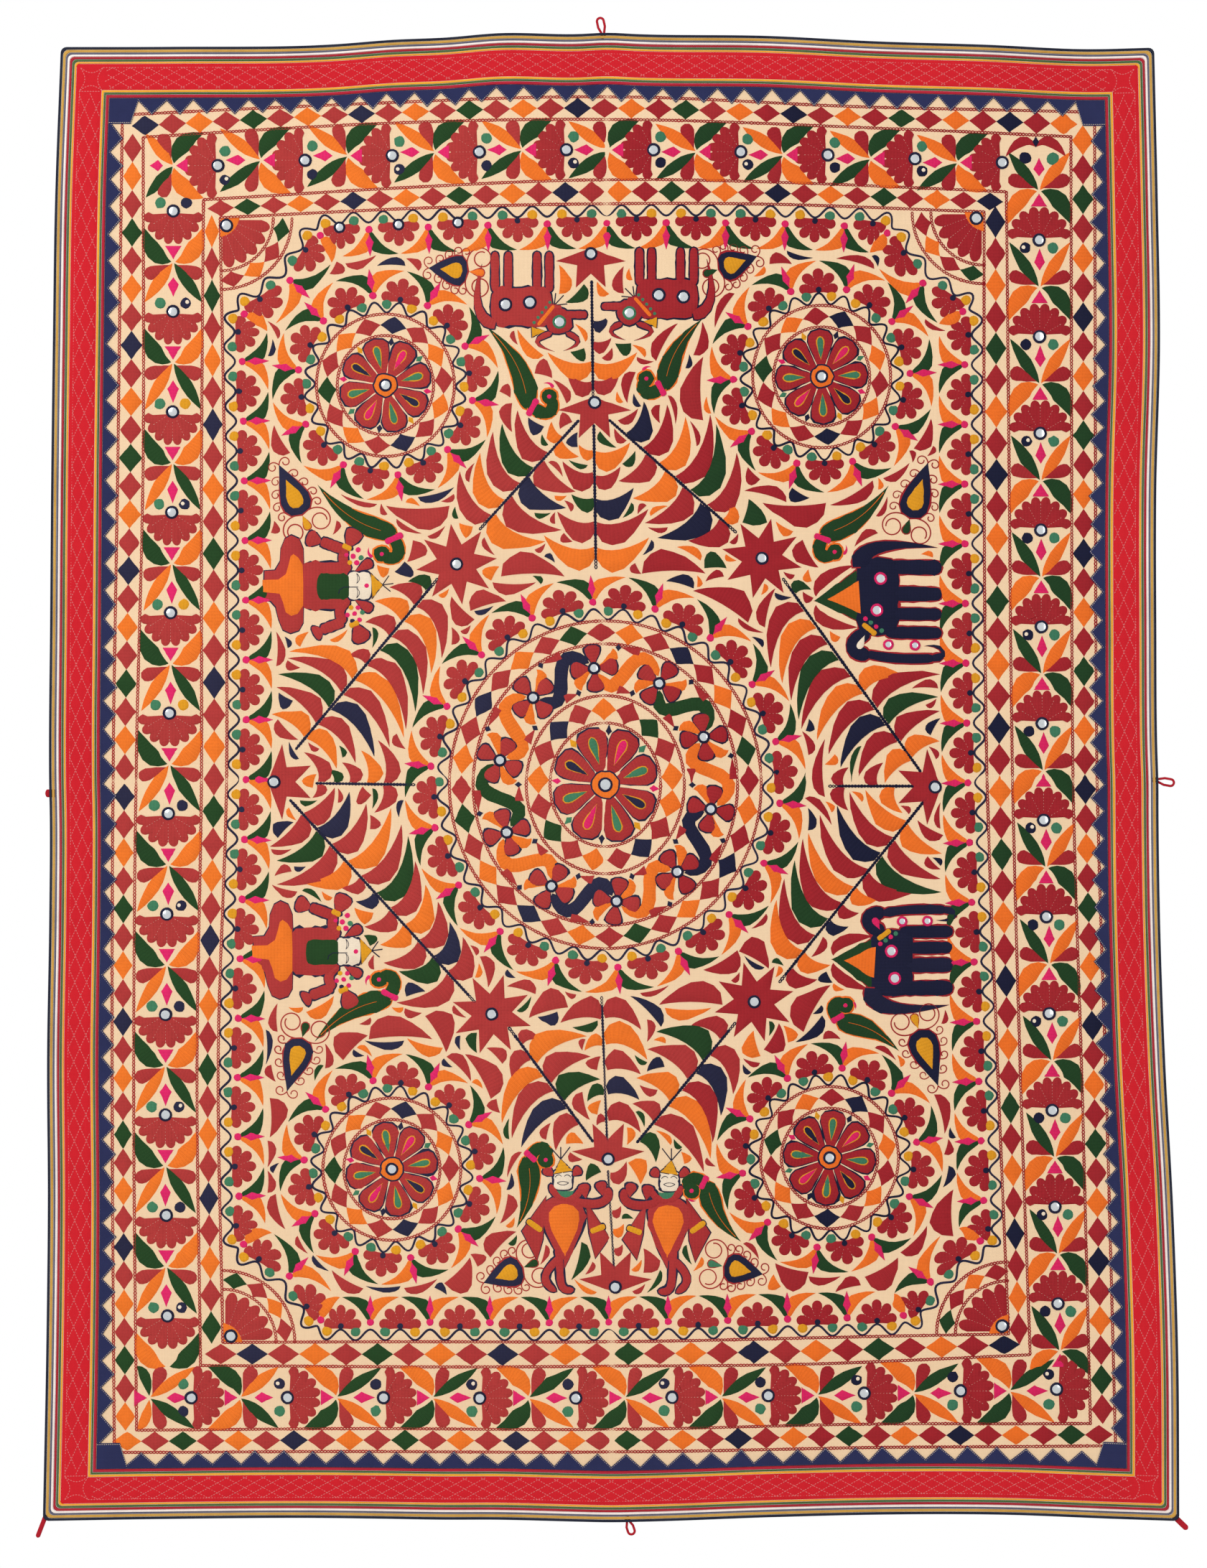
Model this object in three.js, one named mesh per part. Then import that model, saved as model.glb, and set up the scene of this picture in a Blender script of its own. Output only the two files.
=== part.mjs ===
// Mirror work wall hanging: an embroidered ground panel with an appliqued sawtooth band, framed by
// piping, a quilted red border, narrow edge strips, a binding, hanging loops and tabs.
// Millimetres, +Z up. The front faces -Y and +X is to the right as seen from the front.
// The origin is at the middle of the top edge, on the wall behind the hanging.
import * as THREE from 'three';

// Overall cloth, before its edges pull out of true
const WIDTH = 1550;
const HEIGHT = 2060;
const GAP = 0.3;
const CORNER = { radius: 8, least: 0.5, fade: 60, steps: 2 };
const CLOTH_ROUGHNESS = 0.9;
const PLACING_STEPS = 6;

// Across the hanging: at = distance from the left edge, top and bottom = how far those two edges lie
// below the origin, out = how far the fold there stands off the wall.
const ACROSS = [
  { at: 0, top: 18, bottom: 2070, out: 1.6 },
  { at: 160, top: 18, bottom: 2067, out: 4.4 },
  { at: 390, top: 14, bottom: 2066, out: 1.2 },
  { at: 470, top: 8, bottom: 2067, out: 2 },
  { at: 545, top: 5, bottom: 2068, out: 3.2 },
  { at: 620, top: -1, bottom: 2068, out: 3.6 },
  { at: 735, top: 0, bottom: 2071, out: 2.6 },
  { at: 775, top: -2, bottom: 2072, out: 0.8 },
  { at: 815, top: 0, bottom: 2071, out: 2.6 },
  { at: 1005, top: 3, bottom: 2064, out: 4.8 },
  { at: 1155, top: 10, bottom: 2061, out: 1.6 },
  { at: 1310, top: 15, bottom: 2061, out: 4.2 },
  { at: 1460, top: 21, bottom: 2067, out: 1.8 },
  { at: 1550, top: 19, bottom: 2070, out: 3 },
];

// Down the hanging: at = distance from the top edge, left and right = how far those two edges lie from
// the middle line, out = how far the fold there stands off the wall.
const DOWN = [
  { at: 0, left: 755.5, right: 766.5, out: 2 },
  { at: 215, left: 763.5, right: 771.5, out: 2.8 },
  { at: 415, left: 766.5, right: 774.5, out: 3.8 },
  { at: 615, left: 769, right: 769.5, out: 2.6 },
  { at: 815, left: 770.5, right: 769.5, out: 3 },
  { at: 985, left: 772, right: 771, out: 2.6 },
  { at: 1026, left: 772, right: 772.5, out: 0.9 },
  { at: 1067, left: 771, right: 772.5, out: 2.6 },
  { at: 1215, left: 771.5, right: 774.5, out: 3.4 },
  { at: 1415, left: 774.5, right: 781.5, out: 4.2 },
  { at: 1615, left: 773.5, right: 792.5, out: 3.2 },
  { at: 1815, left: 775.5, right: 799.5, out: 4.4 },
  { at: 2060, left: 780.5, right: 801.5, out: 2.6 },
];

// Narrow folded strips, from the outer edge inwards
const EDGE_STRIPS = [
  { name: 'binding_navy', width: 3.8, thickness: 3, color: 0x1c1e2c },
  { name: 'strip_ochre', width: 4.2, thickness: 2.6, color: 0xc9973f },
  { name: 'strip_grey_blue', width: 2.6, thickness: 2.2, color: 0x565463 },
  { name: 'strip_white', width: 3.2, thickness: 2.6, color: 0xf6e6dc },
  { name: 'strip_dark_red', width: 3.7, thickness: 2.4, color: 0x9c2733 },
  { name: 'strip_green', width: 3.2, thickness: 2.4, color: 0x42683c },
  { name: 'strip_yellow', width: 3, thickness: 2.6, color: 0xe6a040 },
];
const PIPINGS = [
  { name: 'piping_yellow', width: 3.6, thickness: 2.6, color: 0xe9ab4e },
  { name: 'piping_green', width: 2.8, thickness: 2.4, color: 0x4d6d3b },
  { name: 'piping_pink', width: 4.8, thickness: 2.2, color: 0xa63040 },
];

// Quilted border: a lattice of puffed diamonds, two rows of them across the width
const BORDER_WIDTH = 36.7;
const BORDER_THICKNESS = 2;
const BORDER_COLOR = 0xc51f2c;
const QUILT_HALF_PITCH = 16;
const QUILT_RISE = 0.8;
const QUILT_ROWS = 4;
const QUILT_MARGIN = 78;

// Ground panel and the sawtooth band that lies on it
const PANEL_THICKNESS = 1.5;
const PANEL_COLOR = 0xf0d3ab;
const SAWTOOTH = { thickness: 1, band: 9.5, rise: 15, color: 0x2c2f4e };
const CORNER_BLOCK = { along: 32, inward: 36, flank: 9.5 };
const TEETH = { top: 34, bottom: 34, left: 48, right: 48 };

// Glass in the middle of the medallions: right of the middle line, and below the origin
const MIRROR = { radius: 8, thickness: 1.2, sides: 16, color: 0xb9c2c9, roughness: 0.1, metalness: 0.8 };
const MIRROR_SEATS = [
  { name: 'mirror_centre', right: 2.5, below: 1045 },
  { name: 'mirror_top_left', right: -303.5, below: 489 },
  { name: 'mirror_top_right', right: 303.5, below: 477 },
  { name: 'mirror_bottom_left', right: -294.5, below: 1580 },
  { name: 'mirror_bottom_right', right: 314.5, below: 1564 },
];

// Loops of red tape with an open eye. Each starts at a point of the edge, and lean is the angle of its
// middle line from the upright, turned to the right.
const TAPE = { width: 3.4, thickness: 2.2, tuck: 8, color: 0xa81c2c };
const LOOP_EYE = 6;
const LOOP_END_STEPS = 8;
const TAB_END_STEPS = 6;
const LOOPS = [
  { name: 'loop_top', right: -1, below: -2, lean: -12, reach: 23 },
  { name: 'loop_right', right: 772.2, below: 1039, lean: 100, reach: 24 },
  { name: 'loop_bottom', right: 34.5, below: 2071.3, lean: 162, reach: 20 },
];
// Folded tabs with no eye, as flat shapes with a rounded end
const TABS = [
  { name: 'tab_left', right: -771.4, below: 1057, lean: -90, reach: 6, width: 11 },
  { name: 'tab_bottom_left', right: -779, below: 2069, lean: 201, reach: 26, width: 6.5 },
  { name: 'tab_bottom_right', right: 800, below: 2069, lean: 134, reach: 18, width: 8 },
];

// The four sides: where a point lies that is so far along the side and so far in from its edge
const SIDES = [
  { name: 'top', length: WIDTH, folds: ACROSS, at: (along, inward) => [along, inward] },
  { name: 'bottom', length: WIDTH, folds: ACROSS, at: (along, inward) => [along, HEIGHT - inward] },
  { name: 'left', length: HEIGHT, folds: DOWN, at: (along, inward) => [inward, along] },
  { name: 'right', length: HEIGHT, folds: DOWN, at: (along, inward) => [WIDTH - inward, along] },
];

/** A column of a table at any place, straight between its rows. */
function between(table, column, at) {
  const place = THREE.MathUtils.clamp(at, table[0].at, table.at(-1).at);
  const next = Math.max(1, table.findIndex((row) => row.at >= place));
  const [low, high] = [table[next - 1], table[next]];
  const share = (place - low.at) / (high.at - low.at);
  return THREE.MathUtils.lerp(low[column], high[column], share);
}

/** How far the cloth's back stands off the wall. */
function standOff(across, down) {
  return between(ACROSS, 'out', across) + between(DOWN, 'out', down);
}

/** The point of the hung cloth at a place of the flat cloth, lifted off the cloth's back. */
function hung(across, down, lift) {
  const u = across / WIDTH;
  const v = down / HEIGHT;
  const x = THREE.MathUtils.lerp(-between(DOWN, 'left', down), between(DOWN, 'right', down), u);
  const z = -THREE.MathUtils.lerp(
    between(ACROSS, 'top', across),
    between(ACROSS, 'bottom', across),
    v,
  );
  return new THREE.Vector3(x, -standOff(across, down) - lift, z);
}

/** The place on the flat cloth of a point of the hung one, found by a few steps towards it. */
function flatPlace(right, below) {
  let across = right + WIDTH / 2;
  let down = below;
  for (let step = 0; step < PLACING_STEPS; step += 1) {
    const reached = hung(across, down, 0);
    across += right - reached.x;
    down += below + reached.z;
  }
  return [across, down];
}

/** A mesh with its own plain material. */
function piece(name, geometry, color, roughness = CLOTH_ROUGHNESS, metalness = 0) {
  const material = new THREE.MeshStandardMaterial({ color, roughness, metalness });
  const mesh = new THREE.Mesh(geometry, material);
  mesh.name = name;
  return mesh;
}

/** Six times the volume that a closed triangle mesh holds, negative if it is inside out. */
function signedVolume(points, triangles) {
  let sum = 0;
  for (let i = 0; i < triangles.length; i += 3) {
    const [a, b, c] = [points[triangles[i]], points[triangles[i + 1]], points[triangles[i + 2]]];
    sum += a.dot(new THREE.Vector3().crossVectors(b, c));
  }
  return sum;
}

/** A closed solid from points and triangles, turned so that its faces point out. */
function closedSolid(points, triangles) {
  const geometry = new THREE.BufferGeometry().setFromPoints(points);
  const inward = signedVolume(points, triangles) < 0;
  geometry.setIndex(inward ? triangles.reverse() : triangles);
  geometry.computeVertexNormals();
  return geometry;
}

/**
 * The triangles that fill a ring's end. The ring runs along its front row and returns along its back
 * row, and the two rows are zipped together, so an end follows the cloth however it bends.
 */
function zippedEnd(size, frontCount) {
  const backCount = size - frontCount;
  const back = (j) => size - 1 - j;
  const triangles = [];
  let i = 0;
  let j = 0;
  while (i < frontCount - 1 || j < backCount - 1) {
    const frontLags = (i + 1) / (frontCount - 1) <= (j + 1) / (backCount - 1);
    if (j === backCount - 1 || (i < frontCount - 1 && frontLags)) {
      triangles.push([i, i + 1, back(j)]);
      i += 1;
    } else {
      triangles.push([i, back(j + 1), back(j)]);
      j += 1;
    }
  }
  return triangles;
}

/** A solid swept through rings of points, one ring for each section, with filled ends. */
function sweptSolid(rings, frontCount) {
  const size = rings[0].length;
  const triangles = [];
  for (let s = 0; s + 1 < rings.length; s += 1) {
    for (let k = 0; k < size; k += 1) {
      const [a, b] = [s * size + k, s * size + ((k + 1) % size)];
      triangles.push(a, b, b + size, a, b + size, a + size);
    }
  }
  const last = (rings.length - 1) * size;
  for (const [i, j, k] of zippedEnd(size, frontCount)) {
    triangles.push(i, k, j, last + i, last + j, last + k);
  }
  return closedSolid(rings.flat(), triangles);
}

/**
 * A length of cloth along one side. A station gives, for a distance in from the edge, the place along
 * and inward. Its front and back rows list points as distance in from the edge and lift.
 */
function sideCloth(side, stations, rowsAt) {
  const sections = stations.map(rowsAt);
  const rings = sections.map(({ front, back }, i) => {
    const ring = [...front, ...back.toReversed()];
    return ring.map(([offset, lift]) => {
      const [across, down] = side.at(...stations[i].place(offset));
      return hung(across, down, lift);
    });
  });
  return sweptSolid(rings, sections[0].front.length);
}

/** The front and back rows of a plain strip between two distances in from the edge. */
function plainRows(outer, inner, low, high) {
  return { front: [[outer, high], [inner, high]], back: [[outer, low], [inner, low]] };
}

/** A station straight across a side, at one distance along it. */
function straightStation(along) {
  return { along, place: (offset) => [along, offset] };
}

/** The radius on which a line turns a corner: widest at the edge, and nearly sharp inside. */
function cornerRadius(offset) {
  return Math.max(CORNER.least, CORNER.radius * (1 - offset / CORNER.fade));
}

/** Stations of a strip that turns half of each corner on an arc and is mitred there. */
function mitredStations(side, alongs) {
  const trim = GAP / Math.SQRT2;
  const turns = Array.from({ length: CORNER.steps + 1 }, (_, step) => (offset) => {
    const angle = THREE.MathUtils.lerp(Math.PI / 4, Math.PI / 2, step / CORNER.steps);
    const radius = cornerRadius(offset);
    return [offset + trim + radius * (1 - Math.cos(angle)), offset + radius * (1 - Math.sin(angle))];
  });
  const start = turns.map((place) => ({ place }));
  const end = turns.map((turn) => ({
    place: (offset) => {
      const [along, inward] = turn(offset);
      return [side.length - along, inward];
    },
  }));
  return [...start, ...alongs.map(straightStation), ...end.toReversed()];
}

/** The folds' places between the two corners of a side. */
function innerFolds(side) {
  return side.folds.slice(1, -1).map((row) => row.at);
}

/** Two lists of places along a side, in order and with none twice. */
function merged(first, second) {
  return [...new Set([...first, ...second])].sort((a, b) => a - b);
}

/** A plain four-sided strip between two distances in from the edge. */
function plainStrip(side, outer, inner, thickness) {
  const rows = plainRows(outer + GAP / 2, inner - GAP / 2, 0, thickness);
  return sideCloth(side, mitredStations(side, innerFolds(side)), () => rows);
}

/** A run of narrow strips side by side on all four sides, from a start inwards. */
function stripRun(strips, start) {
  const group = new THREE.Group();
  let outer = start;
  for (const { name, width, thickness, color } of strips) {
    for (const side of SIDES) {
      const geometry = plainStrip(side, outer, outer + width, thickness);
      group.add(piece(`${name}_${side.name}`, geometry, color));
    }
    outer += width;
  }
  return group;
}

/** The quilted border: every second point of its lattice is raised, and its edges are sewn down. */
function quiltedBorder(start) {
  const group = new THREE.Group();
  const [outer, inner] = [start + GAP / 2, start + BORDER_WIDTH - GAP / 2];
  for (const side of SIDES) {
    const run = side.length - 2 * QUILT_MARGIN;
    const steps = 2 * Math.round(run / QUILT_HALF_PITCH / 2);
    const lattice = Array.from({ length: steps + 1 }, (_, i) => QUILT_MARGIN + (run * i) / steps);
    const stations = mitredStations(side, merged(lattice, innerFolds(side)));
    const riseAt = (along, row) => {
      const inside = along !== undefined && row > 0 && row < QUILT_ROWS;
      const beat = ((along - QUILT_MARGIN) / run) * steps + row;
      return inside ? QUILT_RISE * (1 - Math.cos(Math.PI * beat)) / 2 : 0;
    };
    const geometry = sideCloth(side, stations, ({ along }) => {
      const front = Array.from({ length: QUILT_ROWS + 1 }, (_, row) => [
        THREE.MathUtils.lerp(outer, inner, row / QUILT_ROWS),
        BORDER_THICKNESS + riseAt(along, row),
      ]);
      return { front, back: [[outer, 0], [inner, 0]] };
    });
    group.add(piece(`border_red_${side.name}`, geometry, BORDER_COLOR));
  }
  return group;
}

/** The ground panel, one cloth with the folds of both tables. */
function groundPanel(edge) {
  const [top] = SIDES;
  const start = edge + GAP / 2;
  const across = [start, ...innerFolds(top), WIDTH - start];
  const down = [start, ...DOWN.slice(1, -1).map((row) => row.at), HEIGHT - start];
  const front = down.map((at) => [at, PANEL_THICKNESS]);
  const back = down.map((at) => [at, 0]);
  const geometry = sideCloth(top, across.map(straightStation), () => ({ front, back }));
  return piece('ground_panel', geometry, PANEL_COLOR);
}

/** How far the sawtooth band reaches in from its own edge, as rows of along and reach. */
function sawtoothProfile(side, edge) {
  const upright = side.folds === DOWN;
  const { along, inward, flank } = CORNER_BLOCK;
  const blockEnd = edge + (upright ? inward + GAP : along);
  const first = upright ? blockEnd : blockEnd + flank;
  const half = (side.length - 2 * first) / (2 * TEETH[side.name]);
  const valley = SAWTOOTH.band;
  const teeth = Array.from({ length: 2 * TEETH[side.name] + 1 }, (_, i) => ({
    at: first + half * i,
    reach: i % 2 ? valley + SAWTOOTH.rise : valley,
  }));
  if (upright) return teeth;
  const block = [{ at: edge + GAP / 2, reach: inward }, { at: blockEnd, reach: inward }];
  const far = block.map(({ at, reach }) => ({ at: side.length - at, reach })).reverse();
  return [...block, ...teeth, ...far];
}

/** The navy sawtooth band on top of the ground panel, with the corner blocks on top and bottom. */
function sawtoothBand(edge) {
  const group = new THREE.Group();
  const back = PANEL_THICKNESS + GAP;
  const front = back + SAWTOOTH.thickness;
  for (const side of SIDES) {
    const profile = sawtoothProfile(side, edge);
    const inside = (at) => at > profile[0].at && at < profile.at(-1).at;
    const alongs = merged(profile.map((row) => row.at), innerFolds(side).filter(inside));
    const outer = edge + GAP / 2;
    const geometry = sideCloth(side, alongs.map(straightStation), ({ along }) => {
      const inner = edge + between(profile, 'reach', along);
      return plainRows(outer, inner, back, front);
    });
    group.add(piece(`sawtooth_${side.name}`, geometry, SAWTOOTH.color));
  }
  return group;
}

/** The round glasses, each flat and just clear of the cloth's highest point under it. */
function mirrors() {
  const group = new THREE.Group();
  const { radius, thickness, sides, color, roughness, metalness } = MIRROR;
  for (const { name, right, below } of MIRROR_SEATS) {
    const [across, down] = flatPlace(right, below);
    const steps = [-radius, 0, radius];
    const offs = steps.flatMap((dx) => steps.map((dz) => standOff(across + dx, down + dz)));
    const seat = Math.max(...offs) + PANEL_THICKNESS + GAP;
    const disc = new THREE.CylinderGeometry(radius, radius, thickness, sides);
    const mesh = piece(name, disc, color, roughness, metalness);
    mesh.position.set(right, -seat - thickness / 2, -below);
    group.add(mesh);
  }
  return group;
}

/** Places a flat piece of tape behind the edge of the cloth, leaning as it is sewn on. */
function sewnBehind(mesh, { right, below, lean }) {
  const clear = ([across, down]) => standOff(
    THREE.MathUtils.clamp(across, 0, WIDTH),
    THREE.MathUtils.clamp(down, 0, HEIGHT),
  );
  const steps = [-TAPE.tuck, 0, TAPE.tuck];
  const spots = steps.flatMap((dx) => steps.map((dz) => flatPlace(right + dx, below + dz)));
  const depth = Math.min(...spots.map(clear));
  mesh.rotation.set(0, THREE.MathUtils.degToRad(lean), 0);
  mesh.position.set(right, -depth + GAP, -below);
  return mesh;
}

/** The middle line of a loop's tape: up one leg, round the eye and down the other leg. */
function loopLine(reach) {
  const turn = LOOP_EYE / 2 + TAPE.width / 2;
  const rise = reach - TAPE.width / 2 - turn;
  const foot = TAPE.width / 2 + GAP;
  const line = [new THREE.Vector2(-foot, -TAPE.tuck), new THREE.Vector2(-foot, GAP)];
  for (let step = 0; step <= LOOP_END_STEPS; step += 1) {
    const angle = Math.PI * (1 - step / LOOP_END_STEPS);
    line.push(new THREE.Vector2(turn * Math.cos(angle), rise + turn * Math.sin(angle)));
  }
  line.splice(2, 0, new THREE.Vector2(-turn, rise / 2));
  line.push(new THREE.Vector2(turn, rise / 2));
  line.push(new THREE.Vector2(foot, GAP), new THREE.Vector2(foot, -TAPE.tuck));
  return line;
}

/** A loop of tape of square section that follows its middle line. */
function tapeLoop(reach) {
  const line = loopLine(reach);
  const rings = line.map((spot, i) => {
    const before = line[Math.max(0, i - 1)];
    const after = line[Math.min(line.length - 1, i + 1)];
    const aside = after.clone().sub(before).rotateAround(new THREE.Vector2(), Math.PI / 2);
    aside.setLength(TAPE.width / 2);
    const edges = [spot.clone().add(aside), spot.clone().sub(aside)];
    const front = edges.map(({ x, y }) => new THREE.Vector3(x, 0, y));
    const back = edges.map(({ x, y }) => new THREE.Vector3(x, TAPE.thickness, y));
    return [...front, ...back.toReversed()];
  });
  return sweptSolid(rings, rings[0].length / 2);
}

/** A folded tab: a straight tape with a rounded end. */
function tapeTab(reach, width) {
  const half = width / 2;
  const turn = Math.min(half, reach / 2);
  const shape = new THREE.Shape();
  shape.moveTo(-half, -TAPE.tuck);
  shape.lineTo(half, -TAPE.tuck);
  shape.lineTo(half, reach - turn);
  shape.absellipse(0, reach - turn, half, turn, 0, Math.PI);
  shape.closePath();
  const geometry = new THREE.ExtrudeGeometry(shape, {
    depth: TAPE.thickness,
    bevelEnabled: false,
    curveSegments: TAB_END_STEPS,
  });
  geometry.rotateX(Math.PI / 2);
  return geometry.translate(0, TAPE.thickness, 0);
}

/** The loops and tabs by which the cloth is tied up. */
function hangers() {
  const group = new THREE.Group();
  for (const loop of LOOPS) {
    group.add(sewnBehind(piece(loop.name, tapeLoop(loop.reach), TAPE.color), loop));
  }
  for (const tab of TABS) {
    group.add(sewnBehind(piece(tab.name, tapeTab(tab.reach, tab.width), TAPE.color), tab));
  }
  return group;
}

const widthOf = (strips) => strips.reduce((sum, strip) => sum + strip.width, 0);
const borderStart = widthOf(EDGE_STRIPS);
const pipingStart = borderStart + BORDER_WIDTH;
const panelEdge = pipingStart + widthOf(PIPINGS);

const hanging = new THREE.Group();
hanging.add(
  stripRun(EDGE_STRIPS, 0),
  quiltedBorder(borderStart),
  stripRun(PIPINGS, pipingStart),
  groundPanel(panelEdge),
  sawtoothBand(panelEdge),
  mirrors(),
  hangers(),
);

export default hanging;
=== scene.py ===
"""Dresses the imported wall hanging: cloth, sewn strips, quilting, embroidery and small mirrors.

Lengths are millimetres unless a name ends in _m. Motifs are laid out on a draft, a flat drawing of the
hanging with x to the right and y downwards from its top left corner. ClothForm carries draft places into
the frame, which is in metres, with the front facing -Y and the origin at the middle of the top edge.
"""

import logging
import math
from dataclasses import dataclass, field
from enum import Enum
from typing import Any, Iterable, Sequence

import bpy
import numpy as np
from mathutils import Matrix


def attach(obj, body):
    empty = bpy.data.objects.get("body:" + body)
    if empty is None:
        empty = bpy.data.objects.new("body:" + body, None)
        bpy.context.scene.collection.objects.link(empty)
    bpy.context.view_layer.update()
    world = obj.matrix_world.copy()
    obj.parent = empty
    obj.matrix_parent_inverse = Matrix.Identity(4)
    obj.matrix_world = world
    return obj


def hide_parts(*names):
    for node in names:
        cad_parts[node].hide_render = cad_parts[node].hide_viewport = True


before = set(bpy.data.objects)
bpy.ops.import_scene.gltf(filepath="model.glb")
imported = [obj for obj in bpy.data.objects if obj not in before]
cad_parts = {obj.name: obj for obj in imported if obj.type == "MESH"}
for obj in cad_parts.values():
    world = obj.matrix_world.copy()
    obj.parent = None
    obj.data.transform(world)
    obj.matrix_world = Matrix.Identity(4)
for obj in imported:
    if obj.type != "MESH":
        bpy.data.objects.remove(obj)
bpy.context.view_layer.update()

Array = np.ndarray
Spot = tuple[float, float]
Tint = tuple[int, int, int]
LOG = logging.getLogger("wall_hanging")
MM = 0.001
SEED = 11
SHARP_ANGLE = math.radians(50)
# how far in from the outer edge the ground cloth starts, and how high its front is above its back
PANEL_EDGE = 71.6
GROUND_TOP = 1.5
# how far an outline in another colour shows round a stitched shape
RIM = 1.7


class Side(Enum):
    """The four sides of the cloth."""

    TOP, BOTTOM, LEFT, RIGHT = "top", "bottom", "left", "right"

    @property
    def level(self) -> bool:
        """True for the sides that run from left to right."""
        return self in (TOP, BOTTOM)


class Thread(Enum):
    """Thread colours, each named as the record's material slot."""

    MAROON = "maroon_thread"
    ORANGE = "orange_thread"
    GREEN = "green_thread"
    NAVY = "navy_thread"
    PINK = "pink_thread"
    GOLD = "gold_thread"
    SEA_GREEN = "sea_green_thread"
    PALE = "pale_thread"

    def piece(self, kind: str) -> str:
        """The name of this colour's piece of a kind."""
        return self.value.replace("thread", kind)


class Outline(Enum):
    """How a stitched blade's half width runs from its root to its end."""

    LEAF, DROP, PETAL, DIAMOND, KITE = "leaf", "drop", "petal", "diamond", "kite"
    LENS, TRIANGLE, BAND, HORN, CLAW = "lens", "triangle", "band", "horn", "claw"

    def places(self, steps: Array) -> Array:
        """Where rows lie: at even steps for straight edges, crowded towards the ends for round ones."""
        straight = self in (DIAMOND, KITE, TRIANGLE)
        return steps if straight else 0.25 * steps + 0.75 * (1 - np.cos(np.pi * steps)) / 2

    def share(self, u: Array) -> Array:
        """Share of the full half width at u.

        Args:
            u: Places along the spine, from 0 at the root to 1 at the end.

        Returns:
            Powers of u and 1 - u that give each outline its blunt, round or pointed ends.
        """
        rest = np.clip(1 - u, 0, 1)
        if self is LEAF:
            return (0.62 + 0.38 * np.sin(np.minimum(u / 0.24, 1) * np.pi / 2)) * rest**0.8 * 1.2
        if self is DROP:
            return 1.75 * u * np.sqrt(np.clip(1 - u**3, 0, 1))
        if self is PETAL:
            return 1.32 * (0.12 + 0.74 * u) * np.sqrt(np.clip(1 - u**5, 0, 1))
        if self is DIAMOND:
            return 1 - np.abs(2 * u - 1)
        if self is KITE:
            return np.minimum(u / 0.375, rest / 0.625)
        if self is LENS:
            return np.sin(np.pi * u) ** 0.85
        if self is TRIANGLE:
            return rest
        if self is BAND:
            return np.sqrt(np.clip(1 - np.abs(2 * u - 1) ** 9, 0, 1))
        if self is CLAW:
            return np.sqrt(1 - (1 - np.minimum(u / 0.42, 1)) ** 2) * np.minimum(1, rest / 0.58) ** 0.85
        return np.sqrt(1 - (1 - np.minimum(u / 0.14, 1)) ** 2) * rest**0.8


TOP, BOTTOM, LEFT, RIGHT = Side
MAROON, ORANGE, GREEN, NAVY, PINK, GOLD, SEA_GREEN, PALE = Thread
LEAF, DROP, PETAL, DIAMOND, KITE, LENS, TRIANGLE, BAND, HORN, CLAW = Outline


def unit(vectors: Array) -> Array:
    """The same directions with length one."""
    return vectors / np.maximum(np.linalg.norm(vectors, axis=-1, keepdims=True), 1e-9)


def turned(vectors: Array) -> Array:
    """Directions turned a quarter clockwise on the draft."""
    return np.stack([-vectors[..., 1], vectors[..., 0]], -1)


def polar(angle: float, radius: float) -> Array:
    """A draft offset at an angle in degrees, clockwise from the right."""
    return radius * np.array([math.cos(math.radians(angle)), math.sin(math.radians(angle))])


def circle(angles: Array) -> Array:
    """Points of the circle of radius one at angles in radians."""
    return np.stack([np.cos(angles), np.sin(angles)], -1)


def gone_along(path: Array) -> Array:
    """Length from the start to each point of a path, or of each path in a stack."""
    legs = np.linalg.norm(np.diff(path, axis=-2), axis=-1)
    return np.concatenate([np.zeros_like(legs[..., :1]), np.cumsum(legs, -1)], -1)


def between(at: Array, known: Array, points: Array) -> Array:
    """Points of a line at places between the known ones of its corners."""
    return np.stack([np.interp(at, known, points[:, k]) for k in range(2)], -1)


def ellipse(middle: Any, radii: Spot, steps: int, backwards: bool = False) -> Array:
    """Draft points round an ellipse, clockwise from its right unless backwards."""
    turn = np.linspace(0, 2 * np.pi, steps, endpoint=False) * (-1 if backwards else 1)
    return np.asarray(middle, float) + np.stack([radii[0] * np.cos(turn), radii[1] * np.sin(turn)], -1)


def grid_faces(rows: int, cols: int, ring: bool = False, tube: bool = True) -> Array:
    """Triangles of a grid of points.

    Args:
        rows: Rows of points along the surface.
        cols: Points in each row.
        ring: Joins the last row to the first.
        tube: Joins the last column to the first.

    Returns:
        Rows of three point numbers, two for each cell of the grid.
    """
    r, c = np.meshgrid(np.arange(rows - 1 + ring), np.arange(cols - 1 + tube), indexing="ij")
    here, along = r * cols, (r + 1) % rows * cols
    aside = (c + 1) % cols
    first = np.stack([here + c, here + aside, along + aside], -1)
    second = np.stack([here + c, along + aside, along + c], -1)
    return np.concatenate([first.reshape(-1, 3), second.reshape(-1, 3)])


def capped_faces(rows: int, cols: int) -> Array:
    """A tube's grid with a flat fan of triangles over each end."""
    fan = np.array([(0, k + 1, k) for k in range(1, cols - 1)])
    return np.concatenate([grid_faces(rows, cols), fan, fan[:, ::-1] + (rows - 1) * cols])


def disc_faces(rings: int, sides: int) -> Array:
    """A disc of rings round a top point, closed below by a fan to a bottom point.

    Args:
        rings: Rings of points from the inside out.
        sides: Points in each ring.

    Returns:
        Triangles that number the rings' points first and the top and bottom points last.
    """
    k = np.arange(sides)
    after = (k + 1) % sides
    low = (rings - 1) * sides
    top = np.stack([np.full(sides, rings * sides), after, k], -1)
    under = np.stack([np.full(sides, rings * sides + 1), low + k, low + after], -1)
    return np.concatenate([grid_faces(rings, sides), top, under])


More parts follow.
